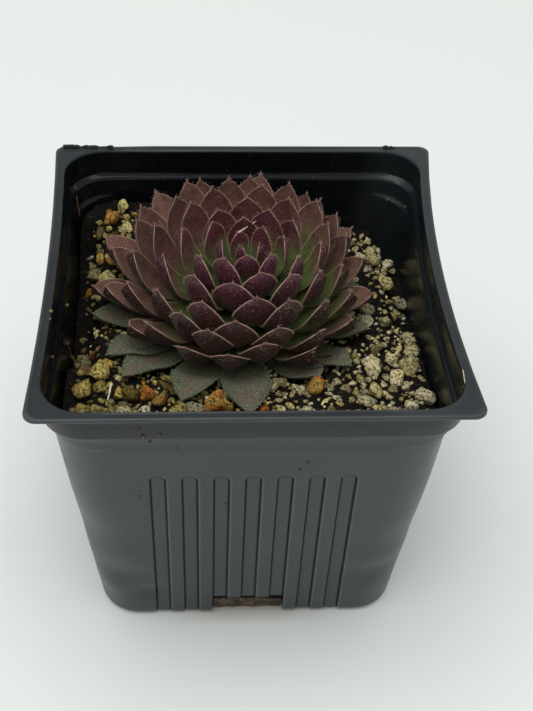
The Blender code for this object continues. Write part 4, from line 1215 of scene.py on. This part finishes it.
def potting_mix():
    """Damp peat potting mix: nearly black, crumbly, with brown fibres and a few wet glints."""
    material, shader = new_material("damp_potting_mix", 0.85)
    shader.inputs["Specular IOR Level"].default_value = 0.15
    link = material.node_tree.links.new
    place = add_node(material, "ShaderNodeTexCoord", {}).outputs["Object"]
    # Crumbs about 1.5 mm across
    crumb = add_node(material, "ShaderNodeTexNoise", {
        "Vector": place, "Scale": 700.0, "Detail": 6.0, "Roughness": 0.7})
    brown = add_node(material, "ShaderNodeMapRange", {
        "Value": crumb.outputs["Fac"], "From Min": 0.45, "From Max": 0.72})
    colour = add_node(material, "ShaderNodeMix", {
        "data_type": "RGBA", 0: brown.outputs[0], 6: srgb("#070605"), 7: srgb("#20180f")})
    fibre_place = add_node(material, "ShaderNodeMapping", {
        "Vector": place, "Scale": (400.0, 1900.0, 900.0), "Rotation": (0.3, 0.2, 0.9)})
    fibre = add_node(material, "ShaderNodeTexNoise", {
        "Vector": fibre_place.outputs[0], "Scale": 1.0, "Detail": 3.0})
    fibres = add_node(material, "ShaderNodeMapRange", {
        "Value": fibre.outputs["Fac"], "From Min": 0.62, "From Max": 0.7, "To Max": 0.7})
    streaked = add_node(material, "ShaderNodeMix", {
        "data_type": "RGBA", 0: fibres.outputs[0], 6: colour.outputs[2], 7: srgb("#54402a")})
    link(streaked.outputs[2], shader.inputs["Base Color"])
    wet = add_node(material, "ShaderNodeMapRange", {
        "Value": crumb.outputs["Fac"], "From Min": 0.3, "From Max": 0.6, "To Min": 0.45, "To Max": 0.95})
    link(wet.outputs[0], shader.inputs["Roughness"])
    bump = add_node(material, "ShaderNodeBump", {
        "Strength": 1.0, "Distance": 0.0012, "Height": crumb.outputs["Fac"]})
    link(bump.outputs[0], shader.inputs["Normal"])
    return material


# Stones that stand out: place in mm, radius, tone from dark 0 to white 1, warmth. A scratch script cast
# their places in the photograph on to the soil, and they are rounded here to whole mm. The first three
# and the one at (-36, 36) were then moved.
KNOWN_STONES = (
    (30, -18, 3.2, 0.95, 0.3), (36, -20, 2.4, 0.9, 0.3), (36, -13, 2.0, 0.85, 0.3),
    (16, -24, 2.3, 0.45, 1.0), (-8, -31, 3.4, 0.75, 1.05), (3, -31, 1.5, 0.8, 1.2),
    (-25, -27, 2.2, 0.65, 1.1), (-36, -20, 2.9, 0.75, 0.8), (30, -26, 2.3, 0.85, 0.6),
    (38, 23, 2.6, 0.75, 0.5), (-36, 36, 2.4, 0.7, 1.0), (-36, 14, 2.6, 0.75, 0.6),
)


def grit_cover(x, y):
    """The share of the stones that stay at a place: fewer in thin places and bare patches."""
    cover = 1.0
    for left, right, front, back, share in THIN_PLACES:
        if left * MM < x < right * MM and front * MM < y < back * MM:
            cover = share
    if y > PATCHES_FROM and noise.noise(Vector((x, y, 0)) * 95) < -0.04:
        cover *= PATCH_SHARE
    return cover


def stone_plan(draw):
    """Where the grit lies: known stones first, then smaller and smaller ones between them."""
    placed = [(x * MM, y * MM, r * MM, bright, warm) for x, y, r, bright, warm in KNOWN_STONES]
    sizes = [draw.uniform(low, high) for count, low, high in STONE_SIZES for _ in range(count)]
    for size in sizes:
        radius = size * MM
        for _ in range(STONE_TRIES):
            x = draw.uniform(-STONE_SPAN, STONE_SPAN) * MM
            y = draw.uniform(-STONE_SPAN, STONE_SPAN) * MM
            if abs(x) + abs(y) > STONE_CORNER or (Vector((x, y, 0)) - STEM_AT).length < STONE_FREE:
                continue
            if draw.random() > grit_cover(x, y):
                continue
            if all((x - a) ** 2 + (y - b) ** 2 > (STONE_PACKING * (radius + r)) ** 2
                   for a, b, r, _, _ in placed):
                left = smooth_step(10 * MM, -20 * MM, x)
                bright = min(1.0, max(0.08, draw.gauss(0.62 - 0.23 * left, 0.24)))
                warm = min(1.0, max(0.0, draw.gauss(0.35 + 0.3 * left, 0.2)))
                placed.append((x, y, radius, bright, warm))
                break
    return placed


def stone_shape(draw, radius, faces):
    """One lump of pumice: a ball knocked flat on several sides, and pitted."""
    bm = with_layers("bright", "warm")
    bmesh.ops.create_icosphere(bm, subdivisions=faces, radius=1.0)
    shift = Vector([draw.uniform(-9, 9) for _ in range(3)])
    sides = [(Vector([draw.gauss(0, 1) for _ in range(3)]).normalized(), draw.uniform(0.45, 0.8))
             for _ in range(9)]
    for vert in bm.verts:
        for normal, depth in sides:
            vert.co -= normal * max(0.0, vert.co.dot(normal) - depth)
        lump = noise.noise(vert.co * 1.1 + shift) * 0.35 + noise.noise(vert.co * 4.1 + shift) * 0.16
        vert.co *= radius * (1.2 + lump)
    bmesh.ops.scale(bm, vec=(1.0, draw.uniform(0.7, 0.95), draw.uniform(0.6, 0.85)), verts=bm.verts)
    turn = Matrix.Rotation(draw.uniform(0, 6.28), 3, "Z")
    tilt = Matrix.Rotation(draw.uniform(-0.5, 0.5), 3, "X")
    bmesh.ops.rotate(bm, verts=bm.verts, matrix=turn @ tilt)
    return bm


def make_grit(caps, step, trees):
    """Every stone on the soil as one piece, each kept under the leaves above it."""
    draw = random.Random(21)
    grit = with_layers("bright", "warm")
    for x, y, radius, bright, warm in stone_plan(draw):
        part = stone_shape(draw, radius, 3 if radius > LARGE_STONE else 2)
        ground = soil_height(x, y, caps, step) - wall_gap(x, y)
        sunk = (0.4 if radius > LARGE_STONE else draw.uniform(-0.35, 0.3)) * radius
        centre = max(ground, soil_plane(x, y) - 3 * MM - wall_gap(x, y)) + sunk
        top = centre + 0.85 * radius
        near = [lowest_above(trees, x + radius * a, y + radius * b)
                for a, b in ((0, 0), (1, 0), (-1, 0), (0, 1), (0, -1))]
        near = [height for height in near if height is not None]
        if near and min(near) < top + 0.3 * MM:
            centre -= top + 0.3 * MM - min(near)
        if centre < ground - 0.6 * radius:
            part.free()
            continue
        bmesh.ops.translate(part, vec=(x, y, centre), verts=part.verts)
        for layer, value in (("bright", bright), ("warm", warm)):
            key = part.verts.layers.float[layer]
            for vert in part.verts:
                vert[key] = value
        merge_in(grit, part)
    bmesh.ops.recalc_face_normals(grit, faces=grit.faces)
    tree = BVHTree.FromBMesh(grit)
    add_piece("pumice_grit", grit, pumice(), None, 80.0)
    return tree


def pumice():
    """Pumice and perlite grit: dry, matt and pitted, cream to olive and rust where it is stained."""
    material, shader = new_material("pumice_grit", 0.92)
    shader.inputs["Specular IOR Level"].default_value = 0.1
    link = material.node_tree.links.new
    place = add_node(material, "ShaderNodeTexCoord", {}).outputs["Object"]
    bright = add_node(material, "ShaderNodeAttribute", {"attribute_name": "bright"}).outputs["Fac"]
    warm = add_node(material, "ShaderNodeAttribute", {"attribute_name": "warm"}).outputs["Fac"]
    pale = add_node(material, "ShaderNodeMix", {
        "data_type": "RGBA", 0: bright, 6: srgb("#4a422e"), 7: srgb("#e2d6b2")})
    olive = add_node(material, "ShaderNodeMix", {
        "data_type": "RGBA", 0: bright, 6: srgb("#52451a"), 7: srgb("#d0be68")})
    stain = add_node(material, "ShaderNodeTexNoise", {"Vector": place, "Scale": 420.0, "Detail": 4.0})
    warmth = add_node(material, "ShaderNodeMath", {
        "operation": "MULTIPLY_ADD", 0: stain.outputs["Fac"], 1: 0.9, 2: warm})
    amount = add_node(material, "ShaderNodeMapRange", {
        "Value": warmth.outputs[0], "From Min": 0.55, "From Max": 1.2})
    body = add_node(material, "ShaderNodeMix", {
        "data_type": "RGBA", 0: amount.outputs[0], 6: pale.outputs[2], 7: olive.outputs[2]})
    rust = add_node(material, "ShaderNodeMapRange", {
        "Value": warmth.outputs[0], "From Min": 1.28, "From Max": 1.55})
    rusty = add_node(material, "ShaderNodeMix", {
        "data_type": "RGBA", 0: rust.outputs[0], 6: body.outputs[2], 7: srgb("#a8662a")})
    # Pits and dirt about half a millimetre wide
    pit = add_node(material, "ShaderNodeTexNoise", {
        "Vector": place, "Scale": 1500.0, "Detail": 5.0, "Roughness": 0.65})
    dirt = add_node(material, "ShaderNodeMapRange", {
        "Value": pit.outputs["Fac"], "From Min": 0.56, "From Max": 0.4, "To Max": 0.9})
    pitted = add_node(material, "ShaderNodeMix", {
        "data_type": "RGBA", 0: dirt.outputs[0], 6: rusty.outputs[2], 7: srgb("#2c2414")})
    link(pitted.outputs[2], shader.inputs["Base Color"])
    bump = add_node(material, "ShaderNodeBump", {
        "Strength": 1.0, "Distance": 0.0005, "Height": pit.outputs["Fac"]})
    link(bump.outputs[0], shader.inputs["Normal"])
    return material


# Loose bits: places where the photograph shows them, in its own pixels, and radii in mm
TWIGS = (((67, 343), (71, 356), (80, 368), 0.55), ((75, 185), (77, 200), (80, 216), 0.3),
         ((313, 352), (320, 357), (331, 356), 0.35), ((309, 360), (318, 362), (327, 366), 0.3))
FIBRES = (((111, 384), (109, 395), (106, 405), 0.3), ((239, 232), (247, 227), (256, 221), 0.25),
          ((463, 370), (465, 383), (461, 391), 0.12))
DRY_LEAF = ((88, 372), (89, 361), (97, 350), (110, 343))
CRUMBS = ((139, 430, 0.35), (143, 437, 0.5), (150, 443, 0.35), (178, 449, 0.35), (308, 463, 0.4),
          (141, 497, 0.35), (226, 504, 0.3), (51, 311, 0.5), (50, 319, 0.4), (67, 305, 0.5),
          (52, 357, 0.4), (388, 200, 0.5), (405, 207, 0.4), (300, 470, 0.35), (160, 435, 0.35))


def point_seen(trees, across, down, lift):
    """The place that the photograph shows at a point of the picture, lifted off its surface."""
    start, direction = ray_through(across, down)
    hits = [tree.ray_cast(start, direction) for tree in trees]
    nearest = min((hit for hit in hits if hit[0] is not None), key=lambda hit: hit[3])
    return nearest[0] - direction * lift


def strand(bm, points, radius):
    """A thin round strand through a few points, which tapers to its end."""
    rings = []
    steps = 4 * (len(points) - 1)
    for step in range(steps + 1):
        place = step / 4
        low = min(len(points) - 2, int(place))
        along = (points[low + 1] - points[low]).normalized()
        side = along.orthogonal().normalized()
        up = along.cross(side)
        centre = points[low].lerp(points[low + 1], place - low)
        size = radius * (1.0 - 0.5 * step / steps)
        rings.append([centre + (side * math.cos(turn) + up * math.sin(turn)) * size
                      for turn in (math.pi * k / 3 for k in range(6))])
    part = bmesh.new()
    skin(part, rings)
    merge_in(bm, part)


def dry_matter(name, dark, light, scale):
    """Dead plant matter: matt and dry, mottled between two browns."""
    material, shader = new_material(name, 0.85)
    place = add_node(material, "ShaderNodeTexCoord", {}).outputs["Object"]
    patch = add_node(material, "ShaderNodeTexNoise", {"Vector": place, "Scale": scale, "Detail": 4.0})
    spread = add_node(material, "ShaderNodeMapRange", {
        "Value": patch.outputs["Fac"], "From Min": 0.4, "From Max": 0.6})
    colour = add_node(material, "ShaderNodeMix", {
        "data_type": "RGBA", 0: spread.outputs[0], 6: srgb(dark), 7: srgb(light)})
    material.node_tree.links.new(colour.outputs[2], shader.inputs["Base Color"])
    return material


def make_loose_bits(trees):
    """Twigs, root fibres, a dried leaf and crumbs that lie on the soil, the leaves and the pot."""
    twigs = bmesh.new()
    for start, middle, end, radius in TWIGS:
        points = [point_seen(trees, *place, 0.8 * radius * MM) for place in (start, middle, end)]
        strand(twigs, points, radius * MM)
    fibres = bmesh.new()
    for start, middle, end, radius in FIBRES:
        points = [point_seen(trees, *place, 0.8 * radius * MM) for place in (start, middle, end)]
        strand(fibres, points, radius * MM)
    leaf = bmesh.new()
    strand(leaf, [point_seen(trees, *place, 0.5 * MM) for place in DRY_LEAF], 0.9 * MM)
    crumbs = bmesh.new()
    for across, down, radius in CRUMBS:
        place = Matrix.Translation(point_seen(trees, across, down, 0.4 * radius * MM))
        bmesh.ops.create_icosphere(crumbs, subdivisions=2, radius=radius * MM, matrix=place)
    for name, bm, finish in (
            ("twigs", twigs, dry_matter("dead_twig", "#2e1a12", "#5e3f2c", 500.0)),
            ("root_fibres", fibres, dry_matter("dry_root", "#a3927a", "#d6cab4", 700.0)),
            ("dried_leaf", leaf, dry_matter("dried_leaf", "#4a2c1a", "#8a5c3c", 400.0)),
            ("soil_crumbs", crumbs, dry_matter("dried_crumb", "#3b2a1c", "#7d6a50", 900.0))):
        bmesh.ops.recalc_face_normals(bm, faces=bm.faces)
        add_piece(name, bm, finish)


# Light and floor

def make_floor():
    """The pale table, faintly stained by the pot, with painted contact shadow at its slots."""
    bm = bmesh.new()
    bmesh.ops.create_grid(bm, x_segments=2, y_segments=2, size=TABLE_HALF)
    material, shader = new_material("matt_white_table", 0.7)
    place = add_node(material, "ShaderNodeTexCoord", {}).outputs["Object"]
    cloud = add_node(material, "ShaderNodeTexNoise", {"Vector": place, "Scale": 4.0})
    colour = add_node(material, "ShaderNodeMix", {
        "data_type": "RGBA", 0: cloud.outputs["Fac"], 6: srgb("#d8dad6"), 7: srgb("#dcdeda")})
    # Soil washed out of the slots stains the table in front of them, and the brown also stands in as
    # painted contact shadow by the foot
    away = add_node(material, "ShaderNodeVectorMath", {"operation": "ABSOLUTE", 0: place})
    axes = add_node(material, "ShaderNodeSeparateXYZ", {0: away.outputs[0]})
    edge = add_node(material, "ShaderNodeMath", {
        "operation": "MAXIMUM", 0: axes.outputs[0], 1: axes.outputs[1]})
    across = add_node(material, "ShaderNodeMath", {
        "operation": "MINIMUM", 0: axes.outputs[0], 1: axes.outputs[1]})
    near = add_node(material, "ShaderNodeMapRange", {
        "Value": across.outputs[0], "From Min": STAIN_SHADOW_SIDES[0], "From Max": STAIN_SHADOW_SIDES[1],
        "To Max": 0.6, "interpolation_type": "SMOOTHSTEP"})
    stain = add_node(material, "ShaderNodeMapRange", {
        "Value": edge.outputs[0], "From Min": FOOT_HALF + STAIN_SHADOW_REACH,
        "From Max": FOOT_HALF - STAIN_SHADOW_UNDER,
        "To Max": near.outputs[0], "interpolation_type": "SMOOTHSTEP"})
    stained_and_shaded = add_node(material, "ShaderNodeMix", {
        "data_type": "RGBA", 0: stain.outputs[0], 6: colour.outputs[2], 7: srgb("#8d8577")})
    material.node_tree.links.new(stained_and_shaded.outputs[2], shader.inputs["Base Color"])
    mesh = bpy.data.meshes.new("floor")
    bm.to_mesh(mesh)
    bm.free()
    mesh.materials.append(material)
    floor = bpy.data.objects.new("floor", mesh)
    bpy.context.scene.collection.objects.link(floor)


def add_light(name, place, target, size, power):
    """A soft square light that faces a target."""
    data = bpy.data.lights.new(name, "AREA")
    data.energy = power
    data.size = size
    light = bpy.data.objects.new(name, data)
    light.location = place
    light.rotation_euler = (Vector(target) - Vector(place)).to_track_quat("-Z", "Y").to_euler()
    bpy.context.scene.collection.objects.link(light)


def make_light():
    """An even bright room and one large soft window from above and the left."""
    world = bpy.data.worlds.new("soft_studio")
    bpy.context.scene.world = world
    world.use_nodes = True
    back = world.node_tree.nodes["Background"]
    back.inputs["Color"].default_value = srgb("#f6fafb")
    back.inputs["Strength"].default_value = SKY_STRENGTH
    add_light("window", WINDOW_AT, WINDOW_FACES, WINDOW_SIZE, WINDOW_POWER)
    view = bpy.context.scene.view_settings
    view.view_transform = "Standard"


make_camera()
make_light()
make_floor()
pot_surface = make_pot()
make_torn_edge()
rosette_surface = make_rosette()
older_surface = make_old_leaves(rosette_surface)
surfaces = [rosette_surface, older_surface]
cap_grid, cap_step = leaf_caps(surfaces)
soil_surface = make_soil(cap_grid, cap_step)
grit_surface = make_grit(cap_grid, cap_step, surfaces)
make_loose_bits([pot_surface, soil_surface, grit_surface] + surfaces)
